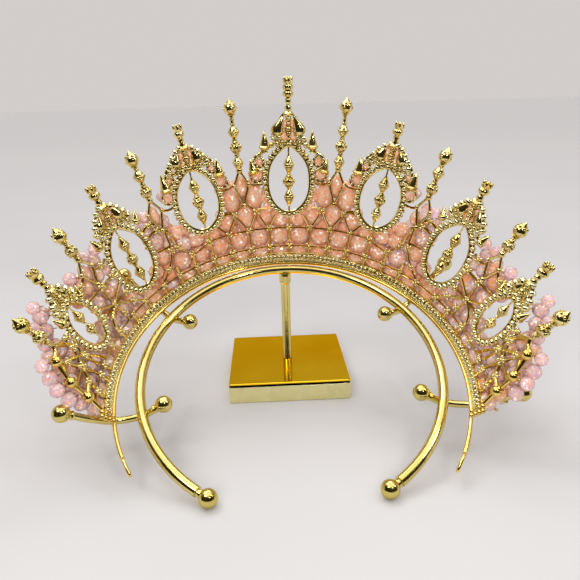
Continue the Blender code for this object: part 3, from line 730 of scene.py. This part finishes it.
def make_bars():
    for bar_name, angle in (("upper_bar", UPPER_BAR_ANGLE), ("lower_bar", LOWER_BAR_ANGLE)):
        carried = band_reach(angle)
        under_ring, under_band = -(RING_ROD + BAR_ROD + 0.1), -(BAND_WIRE + BAR_ROD + 0.1)
        bends = ((57.4, -0.2), (RING_RADIUS, under_ring), (carried, under_band), (carried + 9.0, 3.2),
                 (92.6, 10.2))
        route = smooth_route([ring_point(angle, radius, rise) for radius, rise in bends], 10)
        bar = Shape()
        bar.add(sweep(route, BAR_ROD, 18, fronts=[OVER] * len(route)))
        inner, outer = ring_point(angle, 55.7, 0.4), ring_point(angle, 94.0, 11.2)
        for centre, tail, end in ((inner, route[0], route[2]), (outer, route[-1], route[-3])):
            bar.add(ball_form(20, 30), pointing(centre, tail - centre) @ scaled(BAR_BALL))
            away = unit(end - centre)
            collar = ((0, 1.0), (1.15, 1.0), (1.9, 0.7), (2.0, 0.2), (1.7, -0.3), (1.2, -0.7), (0, -0.7))
            bar.add(lathe(collar, 20), pointing(centre + (BAR_BALL + 0.4) * away, away))
        for side, hand in HANDS:
            node = f"{bar_name}_{hand}"
            bar.piece(f"{bar_name}_and_balls_{hand}", (ROD_GOLD,), (node,), "gold_stand", side, 40)


# Headband and border


def make_headband():
    angles = np.linspace(-BAND_END, BAND_END, 190)
    band = Shape()
    band.add(sweep([chart(a, 0) for a in angles], BAND_WIRE, 12, fronts=[OVER] * len(angles)))
    for side in SIDES:
        degrees = side * (BAND_END + np.degrees(EYE_LENGTH / 2 / BAND_RADIUS))
        angle = radians(degrees)
        loop = []
        for turn in circle(40):
            pinch = 1.0 - 0.28 * side * cos(turn)
            length, width = EYE_LENGTH / 2 * cos(turn), EYE_WIDTH / 2 * sin(turn) * pinch
            loop.append(chart(degrees, 0) + length * along(angle) + width * OVER)
        band.add(sweep(loop, EYE_WIRE, 10, closed=True, fronts=[outward(angle)] * len(loop)))
    band.piece("headband_wire", (WIRE_GOLD,), ("headband",))


def cup_form():
    """A square cup seen from behind, with its floor, walls and open front."""
    points, faces = [], [(3, 2, 1, 0)]
    for reach, height in ((0.55, -0.8), (0.9, -0.62), (1.0, 0.2), (0.86, 0.55)):
        points += [(reach * x, reach * y, height) for x, y in ((-1, -1), (1, -1), (1, 1), (-1, 1))]
    for low in (0, 4, 8):
        faces += quads(low, low + 4, 4)
    return np.array(points), [*faces, (12, 13, 14, 15)]


def make_border():
    """Cup chain along the net's foot, between a beaded line and a wire."""
    cup = cup_form()
    rng = random.Random(5)
    for side, hand in HANDS:
        border, stones = Shape(), Shape()
        angles = np.linspace(0.0, NET_END, 100)
        border.add(wall_rod([(a, 1.35) for a in angles], 0.5, 6))
        border.add(wall_rod([(a, CUP_HEIGHT + 2.1, 0.3) for a in angles], 0.42, 6), look=1)
        border.add(wall_rod([(a, CUP_HEIGHT, 0.95) for a in angles], 1.5, depth=0.25), look=1)
        for angle in np.arange(CUP_PITCH / 2, NET_END + 0.4, CUP_PITCH):
            across, up, front = wall_axes(angle)
            back = np.cross(across, up)
            turn = spun(rng.uniform(-0.2, 0.2))
            axes = place(chart(angle, CUP_HEIGHT, -0.2), across, up, back) @ turn
            size = rng.uniform(0.94, 1.06)
            border.add(cup, axes @ scaled(0.78 * size, 1.5 * size, 1.15))
            for y in (-1.25, 1.25):
                claw = axes @ shifted(1.05, y, 0.3) @ turn.T
                border.add(SMALL_BALL, claw @ scaled(0.5 * rng.uniform(0.85, 1.1), 0.6, 0.66))
            border.add(SMALL_BALL, axes @ shifted(0, 0, 0.5) @ turn.T @ scaled(0.8, 1.3, 0.8))
            seat = place(chart(angle, CUP_HEIGHT, 1.6), across, -up, front)
            stones.add(STONE_CUT, seat @ scaled(0.95, 1.2, 0.8))
        for angle in np.arange(0.3, NET_END, 0.7):
            border.add(GRAIN, standing(angle, 1.4, -0.42) @ scaled(0.36))
        # The cups, claws and beaded line take the paler gold, partly a painted highlight.
        border.piece(f"cup_chain_{hand}", (PALE_HIGHLIGHT_GOLD, WIRE_GOLD), side=side)
        stones.piece(f"cup_stones_{hand}", (PALE_ROSE,), slot="rose_crystal", side=side)


# Arches


def arch_half_width(share):
    if share < ARCH_WIDEST:
        return sqrt(max(0.0, 1 - (1 - share / ARCH_WIDEST) ** 2))
    return 1 - ((share - ARCH_WIDEST) / (1 - ARCH_WIDEST)) ** ARCH_POINT


def arch_outline(bottom, top, half, offset):
    """A closed outline (across, height) at an offset from an opening."""
    shares = [ARCH_WIDEST * (1 - cos(pi / 2 * i / 14)) for i in range(15)]
    shares += [ARCH_WIDEST + (1 - ARCH_WIDEST) * i / 18 for i in range(1, 19)]
    middle = (top + bottom) / 2 - 0.1 * (top - bottom)
    side = []
    for share in shares:
        point = np.array((half * arch_half_width(share), bottom + (top - bottom) * share))
        side.append(point + offset * unit(point - (0, middle)))
    return [*side, *[point * (-1, 1) for point in reversed(side[1:-1])]]


def pronged_ball(shape, degrees, height, radius):
    """A ball with spikes round its waist, claws above them and a pointed cap."""
    here = standing(degrees, height)
    shape.add(BALL, here @ scaled(radius, radius, 0.92 * radius))
    for turn in circle(4) + 0.05 * pi:
        axes = here @ spun(turn) @ place((0.86 * radius, 0, 0.05 * radius), Y, Z, X)
        shape.add(SPIKE, axes @ scaled(0.4 * radius))
    for turn in circle(6) + pi / 6:
        claw = here @ spun(turn) @ shifted(0.66 * radius, 0, 0.62 * radius)
        shape.add(GRAIN, level(claw) @ scaled(0.24 * radius))
    shape.add(CAP, here @ scaled(radius))
    shape.add(COLLAR, here @ scaled(radius))


def flower_bead(shape, degrees, height, radius):
    """A round bead held by petals, with a ring above and below."""
    here = standing(degrees, height)
    shape.add(BALL, here @ scaled(0.88 * radius))
    for turn in circle(6):
        petal = here @ spun(turn) @ shifted(0.8 * radius, 0, 0)
        shape.add(SMALL_BALL, petal @ scaled(0.3 * radius, 0.3 * radius, 0.5 * radius))
        for lift in (-0.62, 0.62):
            tooth = here @ spun(turn + pi / 6) @ shifted(0.62 * radius, 0, lift * radius)
            shape.add(GRAIN, tooth @ scaled(0.22 * radius))
    for lift in (-1.0, 1.0):
        shape.add(THIN_RING, standing(degrees, height + lift * radius) @ scaled(0.55 * radius))


def bicone_bead(shape, degrees, height, radius, half):
    """Two fluted cones with four knobs round the waist."""
    here = standing(degrees, height)
    shape.add(BICONE, here @ spun(0.2) @ scaled(radius, radius, half))
    for turn in circle(4) + pi / 4:
        knob = here @ spun(turn) @ shifted(0.93 * radius, 0, 0)
        shape.add(GRAIN, knob @ scaled(0.2 * radius, 0.2 * radius, 0.3 * radius))


def cone(shape, degrees, across, base, tall, radius, turn):
    """A pointed cone on a rounded cup."""
    point = ((0.0, 1.0), (0.1, 0.97), (0.5, 0.55), (0.86, 0.18), (1.0, 0.0))
    cup = ((0.8, -0.3), (1.15, -0.6), (1.35, -1.2), (1.1, -2.2), (0.5, -2.9), (0.0, -3.1))
    profile = [(share * radius, lift * tall) for share, lift in point]
    profile += [(share * radius, drop) for share, drop in cup]
    shape.add(lathe(profile, 14), standing(degrees, base, 0.0, across, turn))


def leaf(shape, degrees, across, low, tall, radius, turn):
    """A full leaf: a long pointed drop with a rounded foot."""
    shape.add(LEAF, standing(degrees, low, 0.0, across, turn) @ scaled(radius, 0.75 * radius, tall))


def chart_sweep(shape, degrees, route, radii, sides=8, depth=1.0, closed=False, lift=0.0):
    """A rod laid on the wall beside an axis, through (across, height) points."""
    fine = route if closed else smooth_route(route)
    if not np.isscalar(radii):
        radii = np.interp(np.linspace(0, 1, len(fine)), np.linspace(0, 1, len(radii)), radii)
    spots = [(degrees + p[0] / mm_per_degree(degrees, p[1]), p[1], lift) for p in fine]
    shape.add(wall_rod(spots, radii, sides, closed, depth))


def claw_setting(shape, degrees, across, height, turn, size, rng, look):
    """A domed setting with a claw on two of its corners, seen from behind."""
    axes = lying(degrees, across, height, turn, rng.uniform(-0.12, 0.12))
    shape.add(SMALL_BALL, axes @ scaled(size, 1.08 * size, 1.3 * size), look)
    for x, y in ((-0.75, -0.85), (0.75, 0.85)):
        claw = axes @ shifted(x * size, y * size, 0)
        shape.add(GRAIN, claw @ scaled(0.42 * size, 0.42 * size, 0.7 * size))


def granules(shape, degrees, line, rng, closed=True, pitch=GRANULE_PITCH, size=1.0):
    """Long beads that lie across an outline of (across, height) points."""
    spots = evenly(line, pitch, closed)
    for i, spot in enumerate(spots):
        ahead = spots[(i + 1) % len(spots)] - spots[i - 1]
        turn = atan2(ahead[1], ahead[0]) + rng.uniform(-0.2, 0.2)
        big = size * rng.uniform(0.92, 1.08)
        # Each bead takes the paler gold, partly a painted highlight.
        shape.add(SMALL_BALL, lying(degrees, *spot, turn) @ scaled(0.98 * big, 1.4 * big, 1.2 * big), 1)


def ringed_finial(shape, degrees, foot, tip, beads):
    """A banded stem with beads over it that ends in a cup of claws."""
    profile = [(0.0, tip - 1.6), (1.7, tip - 1.4), (2.4, tip - 1.7), (2.3, tip - 2.8), (1.7, tip - 3.4)]
    bead = ((1.7, 0.0), (2.4, 0.5), (2.6, 1.3), (2.4, 2.2), (1.6, 2.8))
    reached = tip - 3.5
    for _ in range(beads):
        profile += [(radius, reached - drop) for radius, drop in bead]
        reached -= 3.0
    bands = max(1, round((reached - foot) / 2.6))
    pitch = (reached - foot) / bands
    for i in range(bands):
        middle = reached - pitch * (i + 0.5)
        band = ((1.05, 0.42), (1.6, 0.2), (1.6, -0.2), (1.05, -0.42))
        profile += [(radius, middle + share * pitch) for radius, share in band]
    profile += [(1.5, foot + 0.4), (2.5, foot - 0.6), (1.9, foot - 1.4), (0.0, foot - 1.5)]
    shape.add(lathe([(r, h - foot) for r, h in profile], 12), standing(degrees, foot))
    for turn in circle(6) + pi / 12:
        shape.add(CLAW, standing(degrees, tip - 1.5) @ spun(turn) @ shifted(1.8, 0, 0) @ scaled(1.5))


def make_crest(gold, stones, degrees, top, crest, size, rng):
    """Leaves, a bead column, claw clusters and crystals between an arch and its finial."""
    rise = crest - top
    for sign in SIDES:
        tall = min(9.8, 0.66 * rise)
        leaf(gold, degrees, sign * 6.3 * size, crest - tall - 0.8, tall, 3.1 * size, -sign * 0.4)
        if degrees:
            edge = [(across, crest - drop * rise) for across, drop in ((4.6, 0.2), (7.8, 0.5), (9.6, 0.84))]
            route = [(sign * a * size, h) for a, h in ((1.4, crest - 0.4), *edge)]
            chart_sweep(gold, degrees, route, 0.7, 7)
            granules(gold, degrees, smooth_route(route, 4), rng, closed=False, pitch=2.9, size=1.4)
        under = ((6.6, crest - 0.64 * rise), (4.6, crest - 0.72 * rise), (2.9, crest - 0.56 * rise))
        chart_sweep(gold, degrees, [(sign * a * size, h) for a, h in under], (0.6, 0.9 * size, 0.5), 8)
        hood = ((0.6, crest - 0.2), (2.6, crest - 0.1 * rise), (4.4, crest - 0.26 * rise))
        chart_sweep(gold, degrees, [(sign * a * size, h) for a, h in hood], (0.8, 0.75, 0.6), 8, lift=0.6)
        for across, lift in ((3.0, 1.6), (4.6, 3.9), (5.6, 1.1), (7.2, 3.3), (8.1, 0.4), (6.5, 5.8)):
            spot = (sign * across * size, top + lift * size)
            turn = rng.uniform(0, pi)
            wide = rng.uniform(1.25, 1.5) * max(size, 0.8)
            # The dome takes the cast gold or the paler gold at random; the paler one is partly a painted
            # highlight, and the claws stay in the darker cast gold.
            claw_setting(gold, degrees, *spot, turn, wide, rng, rng.choice((0, 1)))
        for share in (0.62, 0.26):
            bead = standing(degrees, top + share * rise, 2.2, sign * 2.2 * size)
            stones.add(BEAD_CUT, tumbled(bead, rng) @ scaled(2.7 * size), facets(rng, WARM_MIX))
    chart_sweep(gold, degrees, ((0, top), (0, crest)), 0.6, 8)
    for share, radius in ((0.02, 1.5), (0.2, 1.0), (0.36, 1.3), (0.5, 1.6), (0.66, 1.1), (0.8, 1.4)):
        knot = standing(degrees, top + share * rise, -0.5)
        gold.add(SMALL_BALL, knot @ scaled(radius * 1.05, radius, radius * 0.8))
        for a, b in ((-1, -0.7), (1, -0.7), (1, 0.7), (-1, 0.7)):
            claw = knot @ shifted(0.8 * a * radius, -0.6, 0.8 * b * radius)
            gold.add(GRAIN, level(claw) @ scaled(0.36 * radius))


def make_shoulders(gold, stones, degrees, top, size, rise, rng):
    """What flanks an arch: cones on cups, scrolls and small rings with a crystal."""
    for sign in SIDES:
        if degrees == 0:
            cone(gold, degrees, sign * 11.6, top + 0.8, 6.4, 2.25, sign * 0.02)
            cone(gold, degrees, sign * 17.6, top - 10.4, 5.2, 2.1, sign * 0.24)
            scroll = ((11.0, 57.0), (13.6, 56.4), (16.4, 54.2), (17.8, 51.4))
            rings = ((14.4, 52.0, 2.3), (15.6, 45.8, 3.2))
        elif degrees < 50:
            cone(gold, degrees, sign * 13.6, top - 4.2, 6.4, 2.3, sign * 0.06)
            scroll = ((6.4, top + 5.8), (9.4, top + 3.8), (11.6, top + 0.8), (13.2, top - 3.6))
            rings = ((10.9, top - 2.0, 2.1), (13.4, top - 9.2, 3.1))
        else:
            curl = [(2.1 * cos(t), 2.1 * sin(t)) for t in np.linspace(1.2, 6.6, 16)]
            curl = [(sign * (10.4 * size + x), top + 0.5 + y) for x, y in curl]
            chart_sweep(gold, degrees, curl, (0.5, 0.85, 0.7), 7)
            granules(gold, degrees, curl[1:15:2], rng, closed=False, pitch=2.1, size=0.85)
            cone(gold, degrees, sign * 12.6 * size, top - 1.2, 4.0, 1.6, sign * 0.4)
            scroll = ((5.6 * size, top + 0.42 * rise), (8.4 * size, top + 0.3 * rise),
                      (10.6 * size, top + 2.6))
            rings = ()
        route = [(sign * a, h) for a, h in scroll]
        chart_sweep(gold, degrees, route, (0.7, 1.0, 0.95, 0.7), 8)
        granules(gold, degrees, smooth_route(route, 3), rng, closed=False, pitch=2.2, size=0.9)
        for across, height, radius in rings:
            ring = [(sign * across + radius * cos(t), height + radius * sin(t)) for t in circle(22)]
            chart_sweep(gold, degrees, ring, 0.62, 7, closed=True)
            granules(gold, degrees, ring, rng, pitch=2.5, size=0.7)
            spot = standing(degrees, height, 1.4, sign * across)
            stones.add(BEAD_CUT, tumbled(spot, rng) @ scaled(radius * 0.92), facets(rng, WARM_MIX))


def make_arch(name, degrees, bottom, top, half, crest, tip):
    rng = random.Random(int(degrees * 10) + 3)
    gold, stones = Shape(), Shape()
    size = half / 10.0
    tall = top - bottom
    chart_sweep(gold, degrees, arch_outline(bottom, top, half, 0.4), 0.66, 7, closed=True, lift=-0.1)
    chart_sweep(gold, degrees, arch_outline(bottom, top, half, 1.6), 1.0, 8, 0.6, closed=True, lift=0.45)
    granules(gold, degrees, arch_outline(bottom, top, half, 2.0), rng, size=1.22 if degrees else 1.12)

    chart_sweep(gold, degrees, ((0, bottom - 0.5), (0, top + 1.0)), 0.45, 7)
    if tall > 25:
        bicone_bead(gold, degrees, bottom + 0.71 * tall, 2.6 * size, 0.132 * tall)
        flower_bead(gold, degrees, bottom + 0.46 * tall, 2.8 * size)
        bicone_bead(gold, degrees, bottom + 0.22 * tall, 2.5 * size, 0.128 * tall)
    else:
        bicone_bead(gold, degrees, bottom + 0.68 * tall, 2.1, 0.15 * tall)
        flower_bead(gold, degrees, bottom + 0.34 * tall, 2.2)
    make_crest(gold, stones, degrees, top, crest, size, rng)
    make_shoulders(gold, stones, degrees, top, size, crest - top, rng)
    ringed_finial(gold, degrees, crest, tip, 2 if degrees == 0 else 1)
    for side, hand in HANDS if degrees else HANDS[:1]:
        ending = f"_{hand}" if degrees else ""
        gold.piece(f"{name}_gold{ending}", (CAST_GOLD, PALE_HIGHLIGHT_GOLD), (f"{name}{ending}",), side=side)
        stones.piece(f"{name}_crystals{ending}", SHADES, slot="rose_crystal", side=side)


# Spires


def make_spire(name, degrees, foot, top, tip, beads):
    gold = Shape()
    seat = top - 0.6 if top > foot else foot
    ball = tip - 3.6
    chart_sweep(gold, degrees, ((0, seat), (0, ball)), 0.95, 8)
    pronged_ball(gold, degrees, ball, 3.1)
    for drop in (3.6, 4.9):
        gold.add(BROAD_RING, standing(degrees, ball - drop) @ scaled(0.95))
    for i, middle in enumerate(beads):
        if i == 1 or len(beads) == 1:
            flower_bead(gold, degrees, middle, 2.7)
        else:
            bicone_bead(gold, degrees, middle, 2.65, 3.4)
        for lift in (-3.6, 3.6):
            gold.add(BROAD_RING, standing(degrees, middle + lift))
    if top > foot:
        waist = top - 0.42 * (top - foot)
        corners = ((0.0, top), (3.6, waist), (0.0, foot), (-3.6, waist), (0.0, top))
        for start, end in zip(corners, corners[1:]):
            chart_sweep(gold, degrees, (start, end), 0.66, 8)
        knots = ((0, top, 1.6), (3.6, waist, 1.15), (-3.6, waist, 1.15), (0, foot, 1.3))
        for across, height, radius in knots:
            gold.add(SMALL_BALL, standing(degrees, height, -0.1, across) @ scaled(radius))
    for side, hand in HANDS:
        gold.piece(f"{name}_gold_{hand}", (CAST_GOLD,), (f"{name}_{hand}",), side=side)


# Net and crystals


def near_arch(degrees, height, distance):
    """True within a distance of an arch's band, or inside its opening."""
    for _, angle, bottom, top, half, _, _ in ARCHES:
        across = (degrees - angle) * mm_per_degree(angle, height)
        share = (height - bottom) / (top - bottom)
        if 0 < share < 1 and abs(across) < half * arch_half_width(share) + 0.6:
            return True
        if abs(across) < half + 4 and bottom - 4 < height < top + 4:
            line = arch_outline(bottom, top, half, 1.45)
            if min(hypot(across - p[0], height - p[1]) for p in line) < distance:
                return True
    return False


def clear_runs(route):
    """The stretches of a wire that keep out of the arches' openings."""
    fine = evenly([np.asarray(p) for p in smooth_route(route, 8)], 0.9)
    runs, run = [], []
    for point in fine:
        if near_arch(point[0], point[1], 0.9):
            runs.append(run)
            run = []
        else:
            run.append(point)
    return [r for r in (*runs, run) if len(r) > 2]


def wire_knot(shape, degrees, height, size, rng):
    """Four petals round a bead, where wires meet."""
    here = standing(degrees, height, -0.3)
    shape.add(SMALL_BALL, here @ scaled(0.62 * size, 0.95 * size, 0.62 * size))
    for quarter in circle(4) + pi / 4:
        turn = quarter + rng.uniform(-0.15, 0.15)
        petal = here @ np.array((0.86 * size * cos(turn), 0.1, 0.86 * size * sin(turn), 1))
        axes = place(petal[:3], *wall_axes(degrees))
        # The petals take the paler gold, partly a painted highlight.
        shape.add(SMALL_BALL, axes @ scaled(0.52 * size, 0.52 * size, 0.7 * size), 1)


def make_net():
    rng = random.Random(11)
    gold = Shape()
    routes = [*WIRES, *(((a, CUP_HEIGHT), (a, top)) for a, top in POSTS)]
    for route in routes:
        for run in clear_runs(route):
            wide = NET_WIRE * (1 + 0.6 * min(1.0, run[0][0] / 80))
            gold.add(wall_rod([(*p, -0.15) for p in run], wide * rng.uniform(0.9, 1.2), 7))
    for degrees, height in JOINTS:
        if not near_arch(degrees, height, 0.6):
            wire_knot(gold, degrees, height, JOINT_BALL * rng.uniform(0.9, 1.2), rng)
    gold.add(wall_rod([(*p, -0.3) for p in smooth_route(END_ROD, 8)], 0.95, 10))
    collar = lathe(((0, 0.5), (1.3, 0.4), (1.5, 0), (1.3, -0.4), (0, -0.5)), 14)
    for degrees, height in END_BALLS:
        gold.add(BALL, standing(degrees, height, -0.3) @ scaled(END_BALL))
        gold.add(collar, standing(degrees, height + END_BALL, -0.3))
    for height in (0.6, 2.6, 4.6, 6.4):
        for degrees in (NET_END - 0.8, NET_END + 0.8):
            gold.add(SMALL_BALL, standing(degrees, height, -0.4) @ scaled(1.2))
    for side, hand in HANDS:
        gold.piece(f"lattice_{hand}", (WIRE_GOLD, PALE_HIGHLIGHT_GOLD), (f"crystal_net_{hand}",), side=side)
    centre = Shape()
    centre.add(sweep([chart(0, h, -0.15) for h in np.linspace(CUP_HEIGHT, 25.6, 24)], NET_WIRE, 7))
    for height in (LOW_RAIL, HIGH_RAIL):
        wire_knot(centre, 0, height, JOINT_BALL, rng)
    centre.piece("lattice_centre_post", (WIRE_GOLD, PALE_HIGHLIGHT_GOLD))


def facets(rng, shades):
    """A shade for each facet of a crystal, drawn at random: the lighter, darker and white facets among them
    paint sparkle and glints.
    """
    return [rng.choice(shades) for _ in BEAD_CUT[1]]


def tumbled(axes, rng):
    """A bead turned on its thread and tipped a little."""
    tips = [np.array(Matrix.Rotation(rng.uniform(-0.35, 0.35), 4, axis)) for axis in "XY"]
    return axes @ tips[0] @ tips[1] @ spun(rng.uniform(0, 2 * pi))


def backing_spots():
    """Crystals of the second layer of the right half, behind the first one's gaps: angle, height, radius."""
    spots = []
    for row, height in enumerate(BACKING_HEIGHTS):
        pitch = BACKING_PITCH / mm_per_degree(0, height)
        for i in range(60):
            degrees = (i + 0.5 + 0.5 * (row % 2)) * pitch
            end = NET_END - 2.2 - 0.2 * max(0.0, height - 6)
            if degrees < end and height < ceiling(degrees) and not near_arch(degrees, height, 2.4):
                spots.append((degrees, height, 3.1))
    return spots


def ceiling(degrees):
    """How high the crystals reach between the arches."""
    return float(np.interp(degrees, *zip(*CEILING)))


def shade(degrees, rng, warm=WARM_MIX):
    """The mix of a crystal's facets: paler crystals are more common towards the ends."""
    draw = rng.random()
    if degrees > 30 and draw < 0.08 + 0.84 * min(1.0, (degrees - 30) / 55):
        return SOFT_MIX
    return DEEP_MIX if draw > 0.92 else warm


def make_crystals():
    for side, hand in HANDS:
        rng = random.Random(23 if side > 0 else 29)
        field, backing, loose, threads, seeds = Shape(), Shape(), Shape(), Shape(), Shape()
        for degrees, height, wide, tall in CRYSTALS:
            thick = min(wide, tall, 4.0)
            axes = standing(degrees, height, 0.3 + thick * 0.9)
            stretch = scaled(1.1 * wide, thick, 1.1 * tall)
            field.add(BEAD_CUT, axes @ stretch @ tumbled(np.eye(4), rng), facets(rng, shade(degrees, rng)))
        middle_spots = [(0.0, 9.0, 3.3), (0.0, 19.6, 3.3), (0.0, 14.2, 3.0)] if side > 0 else []
        for degrees, height, radius in (*backing_spots(), *middle_spots):
            stray = (rng.uniform(-0.3, 0.3), rng.uniform(-0.5, 0.5), rng.uniform(6.2, 7.0))
            spot = standing(degrees + stray[0], height + stray[1], stray[2])
            # The back layer leans to the deeper rose and peach facets, which in part paint the gold's warm
            # reflection in the gaps between the front crystals.
            looks = facets(rng, shade(degrees, rng, DEEP_MIX))
            backing.add(BEAD_CUT, tumbled(spot, rng) @ scaled(radius * rng.uniform(0.98, 1.1)), looks)
            seed = standing(degrees + 1.9, height + 1.6, 8.3)
            if height + 2 < ceiling(degrees + 1.9) and not near_arch(degrees + 1.9, height + 1.6, 1.5):
                seeds.add(SMALL_BALL, seed @ scaled(0.95))
        for degrees, height, radius, depth in LOOSE_CRYSTALS:
            if side > 0 and degrees > 96 and height < 18:
                continue  # the right lower bar's ball shows here
            spot = standing(degrees, height, depth)
            loose.add(BEAD_CUT, tumbled(spot, rng) @ scaled(radius), facets(rng, PALE_MIX))
            root = chart(degrees - 0.6, height - 1.6, 0.6)
            middle = 0.5 * (root + spot[:3, 3]) + (0, 0, 0.2)
            threads.add(sweep([root, middle, spot[:3, 3]], 0.2, 5))
        field.piece(f"crystal_field_{hand}", SHADES, slot="rose_crystal", side=side)
        backing.piece(f"crystal_backing_{hand}", SHADES, slot="rose_crystal", side=side)
        loose.piece(f"outer_crystals_{hand}", SHADES, slot="rose_crystal", side=side)
        # The seed beads take the paler gold, partly a painted highlight.
        seeds.piece(f"seed_beads_{hand}", (PALE_HIGHLIGHT_GOLD,), side=side)
        threads.piece(f"crystal_threads_{hand}", (WIRE_GOLD,), side=side)


# Stage


def stage_material():
    """Pale and faintly mottled, a little lighter far off: the lighter far tint is painted light that makes up
    for the lamps' light falling off there, so the floor meets the backdrop evenly.
    """
    material, tree, shader = new_material("Pale stage")
    near = ramp(tree, noise_of(tree, 5.0, 3.0), ((0.3, (0.53, 0.52, 0.52)), (0.7, (0.57, 0.56, 0.56))))
    reach = add_node(tree, "ShaderNodeVectorMath", {0: position(tree)})
    reach.operation = "LENGTH"
    share = spread(tree, reach.outputs["Value"], start=0.2, end=1.5)
    fill(tree, shader, {"Base Color": mix(tree, share, near, (0.70, 0.68, 0.672, 1)), "Roughness": 0.85})
    return material


def make_stage():
    """A wide round floor."""
    sides = 96
    points, faces = [(0.0, 0.0, 0.0)], [(0, 1 + i, 1 + (i + 1) % sides) for i in range(sides)]
    for row, reach in enumerate((0.3, 0.6, 1.2, 2.5, 6.0, 14.0)):
        points += [(reach * cos(t), reach * sin(t), 0.0) for t in circle(sides)]
        if row:
            faces += quads(1 + row * sides, 1 + (row - 1) * sides, sides)
    floor = new_object("stage", new_mesh("stage", points, faces, (stage_material(),)))


def make_card():
    """A dark card under and behind the camera that only reflections see: metal shows dark beside bright."""
    turns = np.linspace(radians(205), radians(333), 33)
    rows = ((0.23, 0.001), (0.33, 0.001), (0.42, 0.002), (0.42, 0.15), (0.42, 0.3))
    points = [(reach * cos(t), reach * sin(t), height) for reach, height in rows for t in turns]
    faces = []
    for row in range(len(rows) - 1):
        faces += quads(row * len(turns), (row + 1) * len(turns), len(turns), closed=False)
    material, tree, shader = new_material("Dark card")
    tint = ramp(tree, noise_of(tree, 4.0), ((0.3, (0.012, 0.011, 0.008)), (0.7, (0.03, 0.026, 0.018))))
    fill(tree, shader, {"Base Color": tint, "Roughness": 1.0})
    card = new_object("card", new_mesh("card", points, faces, (material,)))
    card.visible_camera = card.visible_diffuse = card.visible_shadow = card.visible_transmission = False


def make_world():
    """A pale room, bright overhead, with a dark part high in front that polished metal can mirror."""
    world = bpy.data.worlds.new("Studio")
    world.use_nodes = True
    tree = world.node_tree
    split = add_node(tree, "ShaderNodeSeparateXYZ", {"Vector": position(tree, "Generated")})
    lift = spread(tree, split.outputs["Z"], start=-1.0, end=1.0)
    turn = spread(tree, split.outputs["Y"], start=-0.1, end=0.35)
    pale, dark, bright = (0.645, 0.612, 0.598), (0.06, 0.05, 0.036), (1.5, 1.5, 1.52)
    front = ramp(tree, lift, ((0.585, pale), (0.625, dark), (0.86, dark), (0.95, bright)))
    back = ramp(tree, lift, ((0.6, pale), (0.8, (0.34, 0.32, 0.31)), (0.95, bright)))
    fill(tree, tree.nodes["Background"], {"Color": mix(tree, turn, front, back)})
    bpy.context.scene.world = world


def make_lights():
    for name, spot, size, power, colour, seen_in_metal in LAMPS:
        lamp = bpy.data.lights.new(name, "AREA")
        lamp.shape = "RECTANGLE"
        lamp.size, lamp.size_y = size
        lamp.energy = power
        lamp.color = colour
        thing = new_object(name, lamp)
        thing.location = spot
        thing.rotation_euler = (Vector(LAMP_TARGET) - Vector(spot)).to_track_quat("-Z", "Y").to_euler()
        thing.visible_glossy = seen_in_metal
    lamp = bpy.data.lights.new("daylight", "SUN")
    lamp.energy = 0.5
    lamp.angle = radians(25)
    new_object("daylight", lamp).rotation_euler = (radians(-18), radians(-24), 0)


def make_camera():
    """The photograph's view: a camera in front of the open side, 18 degrees above level."""
    level_ahead, right = rotated(Y, X, YAW)
    ahead = cos(PITCH_DOWN) * level_ahead - sin(PITCH_DOWN) * Z
    down = np.cross(ahead, right)
    x, low = rotated(right, down, ROLL)
    lens = bpy.data.cameras.new("camera")
    lens.sensor_width = SENSOR
    lens.lens = SENSOR * FOCAL_PIXELS / PHOTO_PIXELS
    lens.clip_start = 0.01
    eye = new_object("camera", lens)
    eye.matrix_world = Matrix(place(np.array(EYE) * MM, x, -low, -ahead).tolist())
    bpy.context.scene.camera = eye


make_camera()
make_base()
make_stem()
make_ring()
make_bars()
make_headband()
make_border()
for arch in ARCHES:
    make_arch(*arch)
for spire in SPIRES:
    make_spire(*spire)
make_net()
make_crystals()
make_stage()
make_card()
make_world()
make_lights()
bpy.context.scene.view_settings.view_transform = "Standard"
